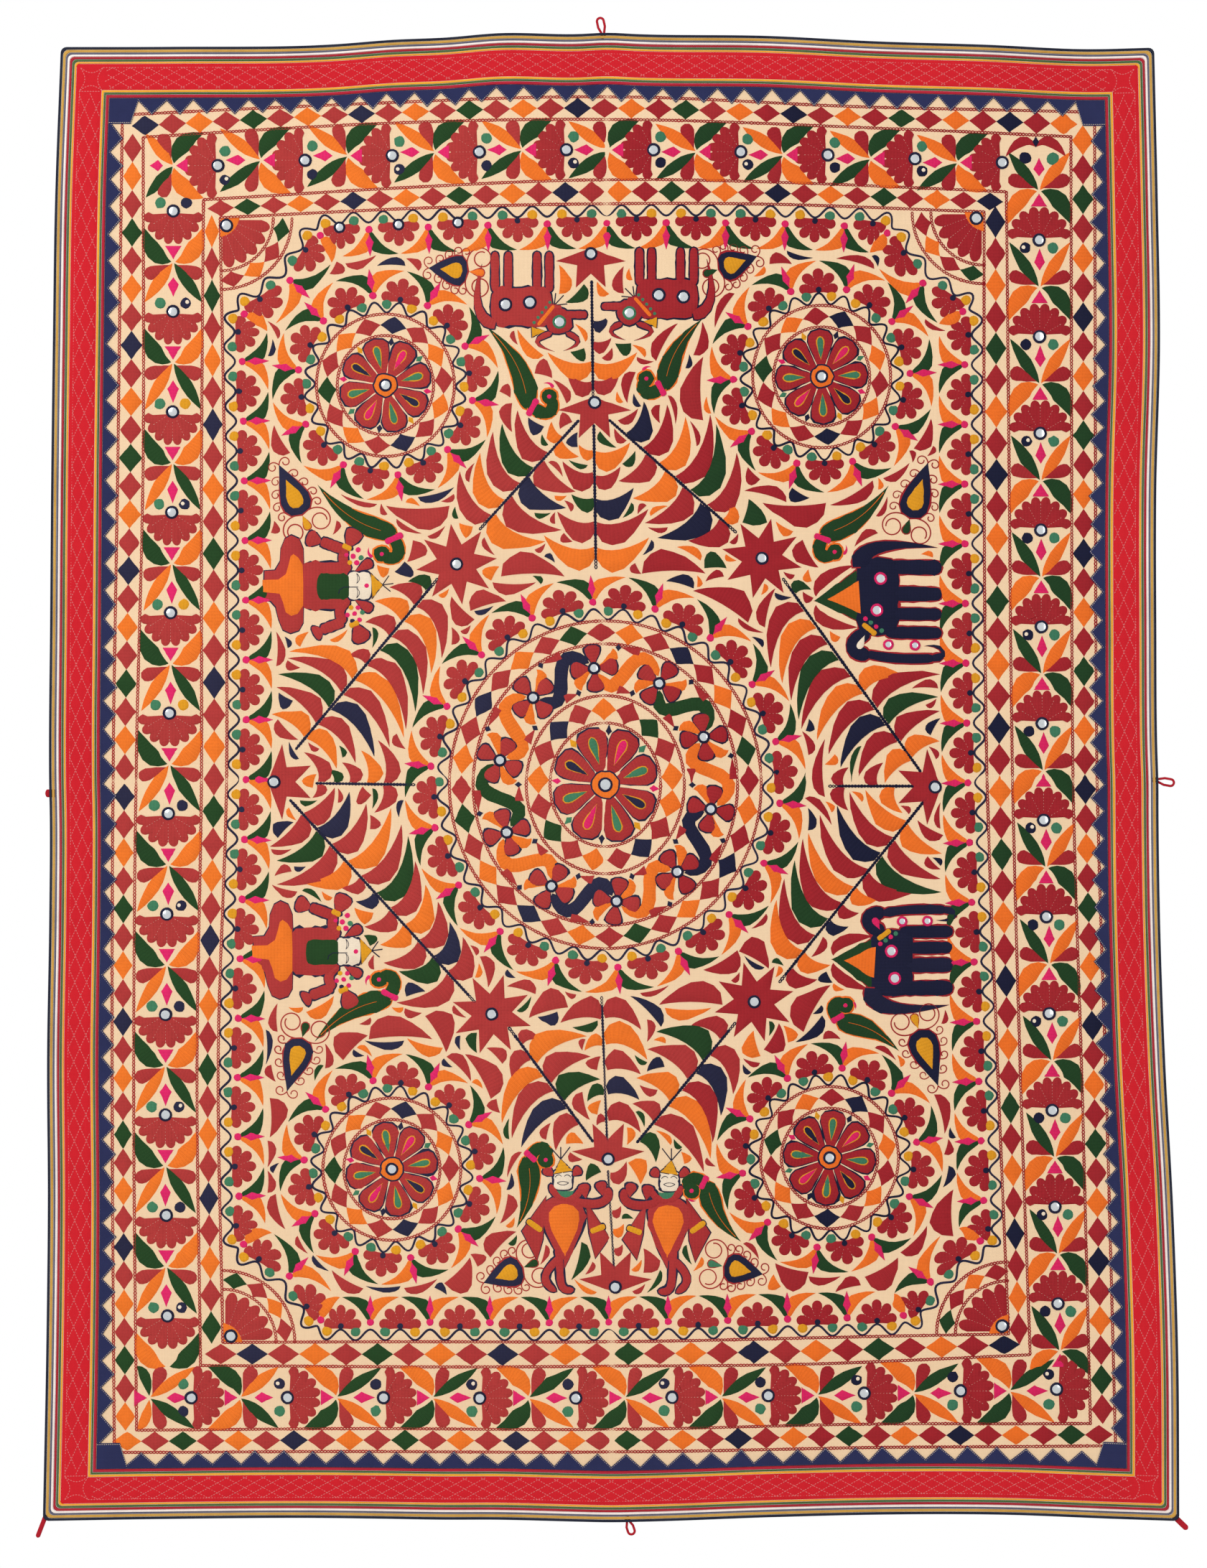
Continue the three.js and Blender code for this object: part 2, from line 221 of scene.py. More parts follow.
@dataclass(frozen=True)
class Profile:
    """A smooth line through the rows of a short table."""

    at: Sequence[float]
    value: Sequence[float]

    def __call__(self, x: Array) -> Array:
        """Cubic from row to row, whose slope at a row is that of the rows about it; level past the ends.

        Args:
            x: Places along the table.

        Returns:
            The line's values there.
        """
        at, value = np.asarray(self.at, float), np.asarray(self.value, float)
        slope = np.gradient(value, at)
        x = np.clip(x, at[0], at[-1])
        i = np.clip(np.searchsorted(at, x, side="right") - 1, 0, len(at) - 2)
        step = at[i + 1] - at[i]
        t = (x - at[i]) / step
        start = (1 + 2 * t) * (1 - t) ** 2 * value[i] + t * (1 - t) ** 2 * step * slope[i]
        return start + t**2 * (3 - 2 * t) * value[i + 1] + t**2 * (t - 1) * step * slope[i + 1]


@dataclass
class ClothForm:
    """The hung cloth: its uneven outline, its soft folds and the two creases it was stored with."""

    width: float = 1550.0
    height: float = 2060.0
    middle: float = 840.5
    edge: float = 48.0
    crease_depth: float = 0.55
    crease_width: float = 6.0
    crease_across: float = 775.0
    crease_down: float = 1026.0
    # left, width and top of a plain oblong from which flat places are worked back
    mean_oblong: tuple[float, ...] = (770, 1545, 10)
    # across: place on the flat cloth; top, bottom: how far below the origin; out: off the wall
    across_rows: tuple[tuple[float, ...], ...] = (
        (0, 18, 2070, 1.6), (160, 18, 2067, 4.4), (390, 14, 2066, 1.2), (470, 8, 2067, 2),
        (545, 5, 2068, 3.2), (620, -1, 2068, 3.6), (735, 0, 2071, 2.6), (775, -2, 2072, 0.8),
        (815, 0, 2071, 2.6), (1005, 3, 2064, 4.8), (1155, 10, 2061, 1.6), (1310, 15, 2061, 4.2),
        (1460, 21, 2067, 1.8), (1550, 19, 2070, 3),
    )
    # down: place on the flat cloth; left, right: how far to each side of the origin; out: off the wall
    down_rows: tuple[tuple[float, ...], ...] = (
        (0, 755.5, 766.5, 2), (215, 763.5, 771.5, 2.8), (415, 766.5, 774.5, 3.8), (615, 769, 769.5, 2.6),
        (815, 770.5, 769.5, 3), (985, 772, 771, 2.6), (1026, 772, 772.5, 0.9), (1067, 771, 772.5, 2.6),
        (1215, 771.5, 774.5, 3.4), (1415, 774.5, 781.5, 4.2), (1615, 773.5, 792.5, 3.2),
        (1815, 775.5, 799.5, 4.4), (2060, 780.5, 801.5, 2.6),
    )

    def __post_init__(self) -> None:
        """Makes the smooth lines through both tables."""
        across, top, bottom, fold = zip(*self.across_rows)
        down, left, right, sway = zip(*self.down_rows)
        self.top, self.bottom, self.fold = (Profile(across, rows) for rows in (top, bottom, fold))
        self.left, self.right, self.sway = (Profile(down, rows) for rows in (left, right, sway))

    def spot(self, across: Array, down: Array) -> Array:
        """Draft places of flat places: shares of the width and height between the uneven edges.

        Args:
            across: Places across the flat cloth.
            down: Places down the flat cloth.

        Returns:
            Draft places.
        """
        u, v = across / self.width, down / self.height
        x = self.middle - self.left(down) * (1 - u) + self.right(down) * u
        y = self.edge + self.top(across) * (1 - v) + self.bottom(across) * v
        return np.stack([x, y], -1)

    def off_wall(self, across: Array, down: Array) -> Array:
        """How far the cloth's back stands off the wall: both folds less a narrow trough at each crease.

        Args:
            across: Places across the flat cloth.
            down: Places down the flat cloth.

        Returns:
            Distances from the wall.
        """
        pinch = np.exp(-np.abs(across - self.crease_across) / self.crease_width)
        pinch = pinch + np.exp(-np.abs(down - self.crease_down) / self.crease_width)
        return self.fold(across) + self.sway(down) - self.crease_depth * pinch

    def flat_place(self, xy: Array) -> tuple[Array, Array]:
        """Flat places of draft places, worked back in a few rounds from a plain oblong.

        Args:
            xy: Draft places.

        Returns:
            Places across and down the flat cloth.
        """
        x, y = xy[..., 0] - self.middle, xy[..., 1] - self.edge
        mean_left, mean_width, mean_top = self.mean_oblong
        across, down = (x + mean_left) * self.width / mean_width, y - mean_top
        for _ in range(3):
            left, right = self.left(down), self.right(down)
            top, bottom = self.top(across), self.bottom(across)
            across = (x + left) / (left + right) * self.width
            down = (y - top) / (bottom - top) * self.height
        return across, down

    def framed(self, xy: Array, across: Array, down: Array, lift: Array | float) -> Array:
        """Frame points of draft places whose flat places are known, at a height above the cloth's back."""
        out = self.off_wall(across, down) + lift
        return np.stack([xy[..., 0] - self.middle, -out, self.edge - xy[..., 1]], -1) * MM

    def lay(self, xy: Array, lift: Array | float) -> Array:
        """Frame points of draft places at a height above the cloth's back."""
        return self.framed(xy, *self.flat_place(xy), lift)

    def raise_flat(self, across: Array, down: Array, lift: Array | float) -> Array:
        """Frame points of flat places at a height above the cloth's back."""
        return self.framed(self.spot(across, down), across, down, lift)


class Socket:
    """A node's output that takes part in sums; each operator adds one Math node."""

    def __init__(self, paint: "Paint", out: bpy.types.NodeSocket) -> None:
        """Keeps the node tree's painter and the output."""
        self.paint, self.out = paint, out

    def sum(self, operation: str, first: Any, second: Any = 0.0) -> "Socket":
        """One Math node on two values or links."""
        return self.paint.node("ShaderNodeMath", {"operation": operation}, {0: first, 1: second})

    def __add__(self, other: Any) -> "Socket":
        """self + other."""
        return self.sum("ADD", self, other)

    def __sub__(self, other: Any) -> "Socket":
        """self - other."""
        return self.sum("SUBTRACT", self, other)

    def __rsub__(self, other: Any) -> "Socket":
        """other - self."""
        return self.sum("SUBTRACT", other, self)

    def __mul__(self, other: Any) -> "Socket":
        """self * other."""
        return self.sum("MULTIPLY", self, other)

    __radd__, __rmul__ = __add__, __mul__

    def sine(self) -> "Socket":
        """Its sine."""
        return self.sum("SINE", self)

    def over(self, other: float) -> "Socket":
        """One where it is greater than other, and zero elsewhere."""
        return self.sum("GREATER_THAN", self, other)


class Paint:
    """Builds one material from nodes."""

    def __init__(self, name: str) -> None:
        """Starts a material with a plain surface shader.

        Args:
            name: The material's name.
        """
        self.material = bpy.data.materials.new(name)
        self.material.use_nodes = True
        self.tree = self.material.node_tree
        self.tree.nodes.clear()
        output = self.tree.nodes.new("ShaderNodeOutputMaterial")
        self.surface = self.tree.nodes.new("ShaderNodeBsdfPrincipled")
        self.tree.links.new(self.surface.outputs[0], output.inputs["Surface"])

    def node(self, kind: str, settings: dict, sockets: dict, out: int | str = 0) -> Socket:
        """Adds any node.

        Args:
            kind: The node's type.
            settings: Its own properties, set first.
            sockets: Values or links of its inputs, by name or number.
            out: The output to hand back.

        Returns:
            The chosen output.
        """
        made = self.tree.nodes.new(kind)
        for key, value in settings.items():
            setattr(made, key, value)
        for key, value in sockets.items():
            self.feed(made.inputs[key], value)
        return Socket(self, made.outputs[out])

    def feed(self, into: bpy.types.NodeSocket, value: Any) -> None:
        """Links a socket or sets its value.

        Args:
            into: The input.
            value: An output to link, or a plain value.
        """
        if isinstance(value, Socket):
            self.tree.links.new(value.out, into)
        else:
            into.default_value = value

    def dress(self, **inputs: Any) -> bpy.types.Material:
        """Feeds the surface shader.

        Args:
            inputs: Values or links of its inputs, with _ for the blanks in their names.

        Returns:
            The finished material.
        """
        for key, value in inputs.items():
            self.feed(self.surface.inputs[key.replace("_", " ")], value)
        return self.material

    def mix(self, share: Any, first: Any, second: Any) -> Socket:
        """A colour between two."""
        return self.node("ShaderNodeMix", {"data_type": "RGBA"}, {0: share, 6: first, 7: second}, 2)

    def shade(self, colour: Any, brightness: Any) -> Socket:
        """A colour made darker or lighter by a factor.

        Args:
            colour: The colour.
            brightness: The factor.

        Returns:
            Their product.
        """
        grey = self.node("ShaderNodeCombineXYZ", {}, {0: brightness, 1: brightness, 2: brightness})
        settings = {"data_type": "RGBA", "blend_type": "MULTIPLY", "clamp_factor": False}
        return self.node("ShaderNodeMix", settings, {0: 1.0, 6: colour, 7: grey}, 2)

    def noise(self, place: Socket, scale: float, detail: float = 2.0) -> Socket:
        """Soft noise from 0 to 1 with about scale patches to a metre."""
        return self.node("ShaderNodeTexNoise", {}, {"Vector": place, "Scale": scale, "Detail": detail})

    def place(self) -> Socket:
        """The point in the piece's own space, in metres."""
        return self.node("ShaderNodeTexCoord", {}, {}, "Object")

    def stretched(self, place: Socket, scale: tuple[float, float, float]) -> Socket:
        """A place stretched along its axes."""
        return self.node("ShaderNodeMapping", {}, {"Vector": place, "Scale": scale})

    def parts(self, place: Socket) -> list[Socket]:
        """The three parts of a vector."""
        made = self.node("ShaderNodeSeparateXYZ", {}, {"Vector": place})
        return [Socket(self, out) for out in made.out.node.outputs]

    def bump(self, height: Socket, distance_m: float, strength: float) -> Socket:
        """A surface direction tilted by a height."""
        sockets = {"Height": height, "Distance": distance_m, "Strength": strength}
        return self.node("ShaderNodeBump", {}, sockets)


def linear(tint: Tint) -> tuple[float, float, float, float]:
    """A screen colour of 0 to 255 as the shader's own linear colour."""
    share = np.array(tint) / 255
    return (*np.where(share <= 0.04045, share / 12.92, ((share + 0.055) / 1.055) ** 2.4).tolist(), 1.0)


@dataclass(frozen=True)
class ThreadFinish:
    """Rows of stitched cotton thread in one colour that varies between two dye lots."""

    name: str
    first: Tint
    second: Tint
    rib_mm: float = 1.9
    depth_m: float = 0.0006

    roughness: float = 0.78
    gloss: float = 0.1
    # patches to a metre: soft ones, worn ones, and streaks along and across the thread
    soft_scale: float = 55.0
    worn_scale: float = 420.0
    streak_scale: tuple[float, ...] = (160.0, 900.0, 1.0)

    def material(self) -> bpy.types.Material:
        """Ribs are a sine across the stitches; short stitches are a sine along them, out of step by row.

        Returns:
            The thread's material.
        """
        paint = Paint(self.name)
        place = paint.place()
        marks = paint.node("ShaderNodeUVMap", {"uv_map": "thread"}, {})
        along, across, _ = paint.parts(marks)
        lot = paint.node("ShaderNodeAttribute", {"attribute_name": "dye"}, {}, "Fac")
        patches = paint.noise(place, self.soft_scale, 3.0)
        streaks = paint.noise(paint.stretched(marks, self.streak_scale), 1.0)
        turn = 2 * math.pi / (self.rib_mm * MM)
        ribs = (across * turn + patches * 2.0).sine()
        stitch = (along * (turn * 0.42) + ribs * 1.5).sine()
        height = 0.5 + 0.32 * ribs + 0.16 * stitch
        worn = paint.noise(place, self.worn_scale)
        # painted shade: the 0.16 * height term darkens the colour in the grooves between ribs and stitches
        # and lightens their tops; patches, streaks and worn are the thread's own uneven tone
        tone = 0.80 + 0.16 * height + 0.20 * (patches - 0.5) + 0.22 * (streaks - 0.5) + 0.1 * (worn - 0.5)
        colour = paint.shade(paint.mix(lot, linear(self.first), linear(self.second)), tone)
        normal = paint.bump(height + 0.3 * streaks, self.depth_m, 0.75)
        rough = self.roughness + 0.12 * (patches - 0.5)
        return paint.dress(Base_Color=colour, Roughness=rough, Normal=normal, Specular_IOR_Level=self.gloss)


@dataclass(frozen=True)
class CottonFinish:
    """Plain woven cotton with slubs, soft patches and a little soiling."""

    name: str
    colour: Tint
    soiled: Tint
    slub: float = 0.10
    patch: float = 0.12

    weave_mm: float = 1.3
    weave_depth_m: float = 0.0005
    roughness: float = 0.86
    gloss: float = 0.08
    # patches to a metre: slubs of the upright and of the level threads, soiled patches and spots
    upright_scale: tuple[float, ...] = (900.0, 60.0, 22.0)
    level_scale: tuple[float, ...] = (22.0, 60.0, 900.0)
    patch_scale: float = 9.0
    spot_scale: float = 70.0

    def material(self) -> bpy.types.Material:
        """The weave is the product of two sines; slubs are noise drawn out along each set of threads.

        Returns:
            The cotton's material.
        """
        paint = Paint(self.name)
        place = paint.place()
        x, _, z = paint.parts(place)
        turn = 2 * math.pi / (self.weave_mm * MM)
        weave = (x * turn).sine() * (z * turn).sine()
        upright = paint.noise(paint.stretched(place, self.upright_scale), 1.0)
        level = paint.noise(paint.stretched(place, self.level_scale), 1.0)
        patches = paint.noise(place, self.patch_scale, 4.0)
        spots = paint.noise(place, self.spot_scale, 3.0)
        soil = (patches + 0.5 * spots - 0.62) * self.patch * 4
        # painted shade: the 0.04 * weave term lightens the weave's raised crossings and darkens its hollows;
        # the slubs are the yarn's own uneven tone
        tone = 1.0 + self.slub * (upright + level - 1.0) + 0.04 * weave
        colour = paint.shade(paint.mix(soil, linear(self.colour), linear(self.soiled)), tone)
        normal = paint.bump(0.5 * weave + 0.8 * (upright + level), self.weave_depth_m, 0.5)
        rough = self.roughness + 0.1 * (spots - 0.5)
        return paint.dress(Base_Color=colour, Roughness=rough, Normal=normal, Specular_IOR_Level=self.gloss)


@dataclass(frozen=True)
class GlassFinish:
    """Thin silvered glass with a faint haze and small tarnished specks."""

    name: str = "silvered_glass"
    colour: Tint = (236, 241, 244)
    tarnish: Tint = (160, 168, 174)
    metal: float = 0.6

    def material(self) -> bpy.types.Material:
        """Specks are where fine noise is high; the haze is soft noise in the roughness.

        Returns:
            The glass's material.
        """
        paint = Paint(self.name)
        place = paint.place()
        haze = paint.noise(place, 150.0)
        specks = paint.noise(place, 900.0).over(0.66) * 0.5
        colour = paint.mix(specks + 0.35 * haze, linear(self.colour), linear(self.tarnish))
        return paint.dress(Base_Color=colour, Metallic=self.metal, Roughness=0.08 + 0.16 * haze)


@dataclass(frozen=True)
class FloorFinish:
    """Pale matt floor paint."""

    name: str = "pale_floor_paint"
    colour: Tint = (236, 234, 230)
    roughness: float = 0.8

    def material(self) -> bpy.types.Material:
        """A pale tone with very soft patches.

        Returns:
            The floor's material.
        """
        paint = Paint(self.name)
        tone = 0.97 + 0.06 * paint.noise(paint.place(), 3.0, 3.0)
        return paint.dress(Base_Color=paint.shade(linear(self.colour), tone), Roughness=self.roughness)


THREAD_FINISHES = {
    MAROON: ThreadFinish("maroon_chain_stitch", (188, 62, 60), (168, 38, 46)),
    ORANGE: ThreadFinish("orange_chain_stitch", (255, 128, 44), (250, 118, 40)),
    GREEN: ThreadFinish("green_chain_stitch", (40, 74, 38), (34, 66, 36)),
    NAVY: ThreadFinish("navy_chain_stitch", (46, 46, 72), (28, 30, 56)),
    PINK: ThreadFinish("pink_chain_stitch", (240, 44, 112), (228, 38, 100)),
    GOLD: ThreadFinish("gold_chain_stitch", (240, 166, 38), (232, 158, 36)),
    SEA_GREEN: ThreadFinish("sea_green_chain_stitch", (74, 136, 100), (66, 126, 96)),
    PALE: ThreadFinish("pale_running_stitch", (255, 236, 210), (240, 128, 128), 0.8, 0.0002),
}


def put(name: str, data: bpy.types.ID) -> bpy.types.Object:
    """Adds an object to the scene.

    Args:
        name: Its name.
        data: What it shows or does.

    Returns:
        The object.
    """
    made = bpy.data.objects.new(name, data)
    bpy.context.scene.collection.objects.link(made)
    return made


@dataclass
class Mesher:
    """Joins many small closed surfaces into one mesh."""

    parts: list[tuple[Array, ...]] = field(default_factory=list)
    count: int = 0

    def add(self, points: Array, faces: Array, marks: Array | float = 0.0, dye: Array | float = 0.0) -> None:
        """Adds copies of a closed surface, each turned so that its faces point outwards.

        A copy's volume, summed over its triangles, is below zero where the copy is inside out.

        Args:
            points: Frame points of each copy.
            faces: Triangles of one copy.
            marks: Place along and across the stitches at each point, in metres.
            dye: Share of the second dye lot, for all or for each copy.
        """
        copies, size = points.shape[:2]
        local = points - points.mean(1, keepdims=True)
        a, b, c = (local[:, faces[:, k]] for k in range(3))
        volume = np.einsum("nfk,nfk->n", a, np.cross(b, c))
        sorted_faces = np.where((volume < 0)[:, None, None], faces[None, :, ::-1], faces[None])
        starts = self.count + size * np.arange(copies)
        numbers = (sorted_faces + starts[:, None, None]).reshape(-1, 3)
        spread = np.broadcast_to(marks, (copies, size, 2)).reshape(-1, 2)
        dyes = np.repeat(np.broadcast_to(dye, (copies,)), size)
        self.parts.append((points.reshape(-1, 3), numbers, spread, dyes))
        self.count += copies * size

    def build(self, name: str, finish: Any, slot: str) -> bpy.types.Object:
        """Puts all the copies into one object that rides on the cloth.

        Args:
            name: The piece's name.
            finish: What it is made of.
            slot: The record's material slot; not used.

        Returns:
            The finished piece.
        """
        points, faces, marks, dyes = (np.concatenate(rows) for rows in zip(*self.parts))
        mesh = bpy.data.meshes.new(name)
        mesh.vertices.add(len(points))
        mesh.vertices.foreach_set("co", points.astype(np.float32).ravel())
        mesh.loops.add(faces.size)
        mesh.loops.foreach_set("vertex_index", faces.astype(np.int32).ravel())
        mesh.polygons.add(len(faces))
        mesh.polygons.foreach_set("loop_start", np.arange(0, faces.size, 3, dtype=np.int32))
        mesh.update(calc_edges=True)
        layer = mesh.uv_layers.new(name="thread")
        layer.data.foreach_set("uv", marks[faces.ravel()].astype(np.float32).ravel())
        lots = mesh.attributes.new("dye", "FLOAT", "POINT")
        lots.data.foreach_set("value", dyes.astype(np.float32))
        mesh.shade_smooth()
        mesh.set_sharp_from_angle(angle=SHARP_ANGLE)
        mesh.materials.append(finish.material())
        made = put(name, mesh)
        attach(made, "root")
        LOG.info("%s: %d triangles", name, len(faces))
        return made


def cubic(points: Sequence[Any]) -> Array:
    """The curve that two, three or four points give.

    Args:
        points: Its ends, with one or two points between that it bends towards, or none.

    Returns:
        Four control points.
    """
    p = np.asarray(points, float)
    if len(p) == 2:
        return p[0] + (p[1] - p[0]) * np.array([0, 1 / 3, 2 / 3, 1])[:, None]
    if len(p) == 3:
        return np.stack([p[0], (p[0] + 2 * p[1]) / 3, (2 * p[1] + p[2]) / 3, p[2]])
    return p


def bezier(control: Array, u: Array) -> Array:
    """Points of cubic curves: the four control points weighed by powers of u and 1 - u."""
    v = 1 - u
    return np.stack([v**3, 3 * v**2 * u, 3 * v * u**2, u**3], -1) @ control


def bow(points: Sequence[Any]) -> Array:
    """A short bent line through nine points of a curve."""
    return bezier(cubic(points), np.linspace(0, 1, 9))


def paced(path: Array, pitch: float, start: float = 0.5) -> tuple[Array, Array]:
    """Even steps along a path.

    Args:
        path: Draft points in order.
        pitch: Length of a step, stretched a little so that whole steps fit.
        start: Where in its step each point lies.

    Returns:
        The points and the directions of travel there.
    """
    gone = gone_along(path)
    steps = max(1, round(gone[-1] / pitch))
    at = (np.arange(steps) + start) * gone[-1] / steps
    leg = np.clip(np.searchsorted(gone, at, side="right") - 1, 0, len(path) - 2)
    return between(at, gone, path), unit(np.diff(path, axis=0)[leg])


def column(shapes: Sequence[Any], name: str) -> Array:
    """One field of many shapes, as an array."""
    return np.array([getattr(shape, name) for shape in shapes])


@dataclass(frozen=True)
class Place:
    """Where a motif goes: its origin, the way its first axis points, whether it is mirrored and its scale."""

    origin: Any
    along: Any = (1.0, 0.0)
    mirrored: bool = False
    scale: Spot = (1.0, 1.0)

    def at(self, a: float, c: float) -> Array:
        """The draft place of a local one.

        Args:
            a: How far along the first axis it is.
            c: How far to the right of that axis, or to the left if mirrored.

        Returns:
            The draft place.
        """
        along = unit(np.asarray(self.along, float))
        aside = turned(along) * (-1 if self.mirrored else 1)
        return np.asarray(self.origin, float) + along * a * self.scale[0] + aside * c * self.scale[1]

    def all(self, spots: Iterable[Spot]) -> Array:
        """The draft places of several local ones."""
        return np.stack([self.at(a, c) for a, c in spots])


@dataclass(frozen=True)
class Blade:
    """A filled leaf, petal or limb: a curved spine with a half width on each side."""

    control: Array
    left: float
    right: float
    outline: Outline
    lift: float
    dye: float

    long_from: float = 100.0
    cover_step: float = 1.6

    @property
    def long(self) -> bool:
        """True for limbs and other blades that need more rows of points."""
        reach = float(np.linalg.norm(self.control[3] - self.control[0]))
        return self.outline is BAND or reach > self.long_from

    def cover(self, grow: float = 0.0, first: float = 0.0) -> Array:
        """Draft points spread closely over the blade.

        Args:
            grow: How much wider and longer than the blade the spread is.
            first: Share of the blade next to its root that is left out.

        Returns:
            Points in rows across the spine, and one past its end.
        """
        length = float(np.linalg.norm(np.diff(self.control, axis=0), axis=1).sum())
        u = np.linspace(first, 1, max(4, round(length / self.cover_step)))
        spine = bezier(self.control, u)
        way = unit(np.gradient(spine, axis=0))
        across = np.linspace(-1, 1, max(3, round((self.left + self.right + 2 * grow) / self.cover_step)))
        half = np.where(across < 0, self.left, self.right) * self.outline.share(u)[:, None] + grow
        points = spine[:, None] + turned(way)[:, None] * (across * half)[..., None]
        return np.concatenate([points.reshape(-1, 2), spine[-1:] + way[-1:] * grow])


@dataclass(frozen=True)
class Patch:
    """A filled round or lobed shape: an outline about a middle point."""

    edge: Array
    middle: Array
    lift: float
    dye: float

    cover_step: float = 0.125
    cover_rings: int = 30

    def cover(self) -> Array:
        """Draft points spread closely over the patch.

        Returns:
            Points on lines from its middle to its outline.
        """
        loop = np.concatenate([self.edge, self.edge[:1]])
        fine = between(np.arange(0, len(self.edge), self.cover_step), np.arange(len(loop)), loop)
        return self.middle + (fine - self.middle)[:, None] * np.linspace(0, 1, self.cover_rings)[:, None]


@dataclass(frozen=True)
class Glass:
    """A small round mirror and the colour of the stitches round it."""

    middle: Array
    radius: float
    lift: float
    ring: Thread


@dataclass
class Space:
    """A fine map of the draft that remembers which places are stitched already."""

    cell: float = 2.0
    size: tuple[int, int] = (1092, 842)

    def __post_init__(self) -> None:
        """Starts with bare cloth."""
        self.taken = np.zeros(self.size, bool)

    def cells(self, xy: Array) -> tuple[Array, Array]:
        """Rows and columns of draft places."""
        at = (np.asarray(xy) / self.cell).astype(int)
        return np.clip(at[..., 1], 0, self.size[0] - 1), np.clip(at[..., 0], 0, self.size[1] - 1)

    def mark(self, xy: Array) -> None:
        """Remembers that places are stitched."""
        self.taken[self.cells(xy)] = True

    def keep_clear(self, middle: Array, radius: float) -> None:
        """Keeps a round place free of leaves."""
        for share in np.linspace(0.1, 1, 8):
            self.mark(ellipse(middle, (radius * share, radius * share), 48))

    def bare(self, xy: Array) -> bool:
        """True if none of the places is stitched."""
        return not self.taken[self.cells(xy)].any()


@dataclass
class Embroidery:
    """Collects every stitched shape by colour and turns each colour into a few joined meshes."""

    form: ClothForm

    fill_height: float = 0.8
    over_lift: float = 0.65
    under_lift: float = -0.3
    leaf_gap: float = 1.3
    # heights across a blade, and out from the middle of a patch, as shares of the fill's height
    dome = np.array([-0.3, 0.74, 1, 0.74, -0.3])
    ring_dome = np.array([0.98, 0.7, -0.3])
    pole_dome: Spot = (1.0, -0.5)
    # how far from its edge a filled shape has risen, at most, and as a share of a narrow one
    shoulder: float = 1.5
    blade_share: float = 0.4
    patch_share: float = 0.12
    inner_ring: float = 0.52
    thinnest: float = 0.18
    # how uneven the outlines of blades and of dots are
    blade_uneven: float = 0.035
    dot_uneven: float = 0.045
    # a blade's height follows its width: the factor between their shares, and the least share
    blade_rise: Spot = (1.4, 0.3)
    # points along short and long blades
    short_rows: int = 9
    long_rows: int = 15
    # where the thread of the second dye lot sets in, how its edge slants, how wide and how mixed it is
    lot_start: Spot = (780, 1090)
    lot_slant: float = 0.12
    lot_run: float = 260
    lot_spread: float = 0.12
    # heights over a stitched line, a chain link's thread and a running stitch
    cord_rise = np.array([-0.2, 0.75, -0.2])
    link_rise = np.array([-0.15, 0.8, -0.15])
    stitch_rise = np.array([-0.1, -0.1, 0, 0, 0.42, -0.2])
    stitch_share: float = 0.42
    link_sides: int = 6
    link_pitch: float = 4.4
    link_half: float = 1.5
    link_share: float = 0.56
    link_uneven: float = 0.06
    link_turn: float = 1.9
    link_thread = np.array([1, 0, -0.9])
    # where the chains' second dye lot sets in, over what length, and how mixed it is
    chain_lot: tuple[float, ...] = (700, 500, 0.1)
    mark_step: float = 1.5
    chain_half: float = 2
    # height, pitch, half width and dye of the seams between petals
    seam_stitch: tuple[float, ...] = (GROUND_TOP + 0.62, 4.2, 0.36, 0.25)
    mirror_turns = np.arange(14) * 2 * np.pi / 14
    chamfer: float = 0.92
    glass_rise: tuple[float, ...] = (1.3, 1.15, 0.1)
    glass_tip: float = 0.035
    # a mirror ring's section: how far out from the glass's edge, and how high
    ring_reach = np.array([-0.6, 0.3, 2.0, 3.0])
    ring_rise = np.array([1.25, 1.9, 1.5, -0.2])
    ring_uneven: float = 0.12
    ring_stitches: int = 8
    ring_dye: float = 0.6
    ring_colours: tuple[Thread, ...] = (NAVY, PINK, SEA_GREEN)
    cad_mirrors: tuple[str, ...] = ("centre", "top_left", "top_right", "bottom_left", "bottom_right")

    def __post_init__(self) -> None:
        """Starts with nothing stitched."""
        self.space = Space()
        self.rng = np.random.default_rng(SEED)
        self.blades: dict[Thread, list[Blade]] = {thread: [] for thread in Thread}
        self.patches: dict[Thread, list[Patch]] = {thread: [] for thread in Thread}
        self.cords: dict[Thread, list[tuple[Array, float, float]]] = {thread: [] for thread in Thread}
        self.chains: dict[tuple[str, Thread], list[Array]] = {}
        self.stitches: dict[str, list[tuple[Array, float, float, float, float]]] = {}
        self.glasses: list[Glass] = []

    def lot(self, thread: Thread, spot: Array) -> float:
        """Share of the second dye lot: the right and upper parts were sewn with deeper thread.

        Args:
            thread: The colour; the pale thread has one lot only.
            spot: Where it is sewn.

        Returns:
            A share from 0 to 1.
        """
        if thread is PALE:
            return 0.0
        x, y = self.lot_start
        share = np.clip((spot[0] - x + self.lot_slant * (y - spot[1])) / self.lot_run, 0, 1)
        return float(np.clip(share + self.rng.normal(0, self.lot_spread), 0, 1))

    def blade(self, thread: Thread, outline: Outline, points: Any, left: float, right: float | None = None,
              lift: float = 0.0, rim: Thread | None = None, width: float = RIM) -> None:
        """Stitches one blade, over a wider one in the rim's colour if it has a rim.

        Args:
            thread: Its colour.
            outline: How its width runs.
            points: Its spine, from the root to the end.
            left: Its half width on the left hand of the way to its end.
            right: Its half width on the right hand, if that differs.
            lift: How far it is raised.
            rim: The colour of its rim.
            width: The rim's width.
        """
        control = cubic(points)
        right = left if right is None else right
        if rim:
            ends = unit(np.stack([control[0] - control[1], control[3] - control[2]])) * width
            wide = control + np.stack([ends[0], 0 * ends[0], 0 * ends[0], ends[1]])
            self.blade(rim, outline, wide, left + width, right + width, lift + self.under_lift)
        made = Blade(control, left, right, outline, lift, self.lot(thread, control.mean(0)))
        self.blades[thread].append(made)
        self.space.mark(made.cover())

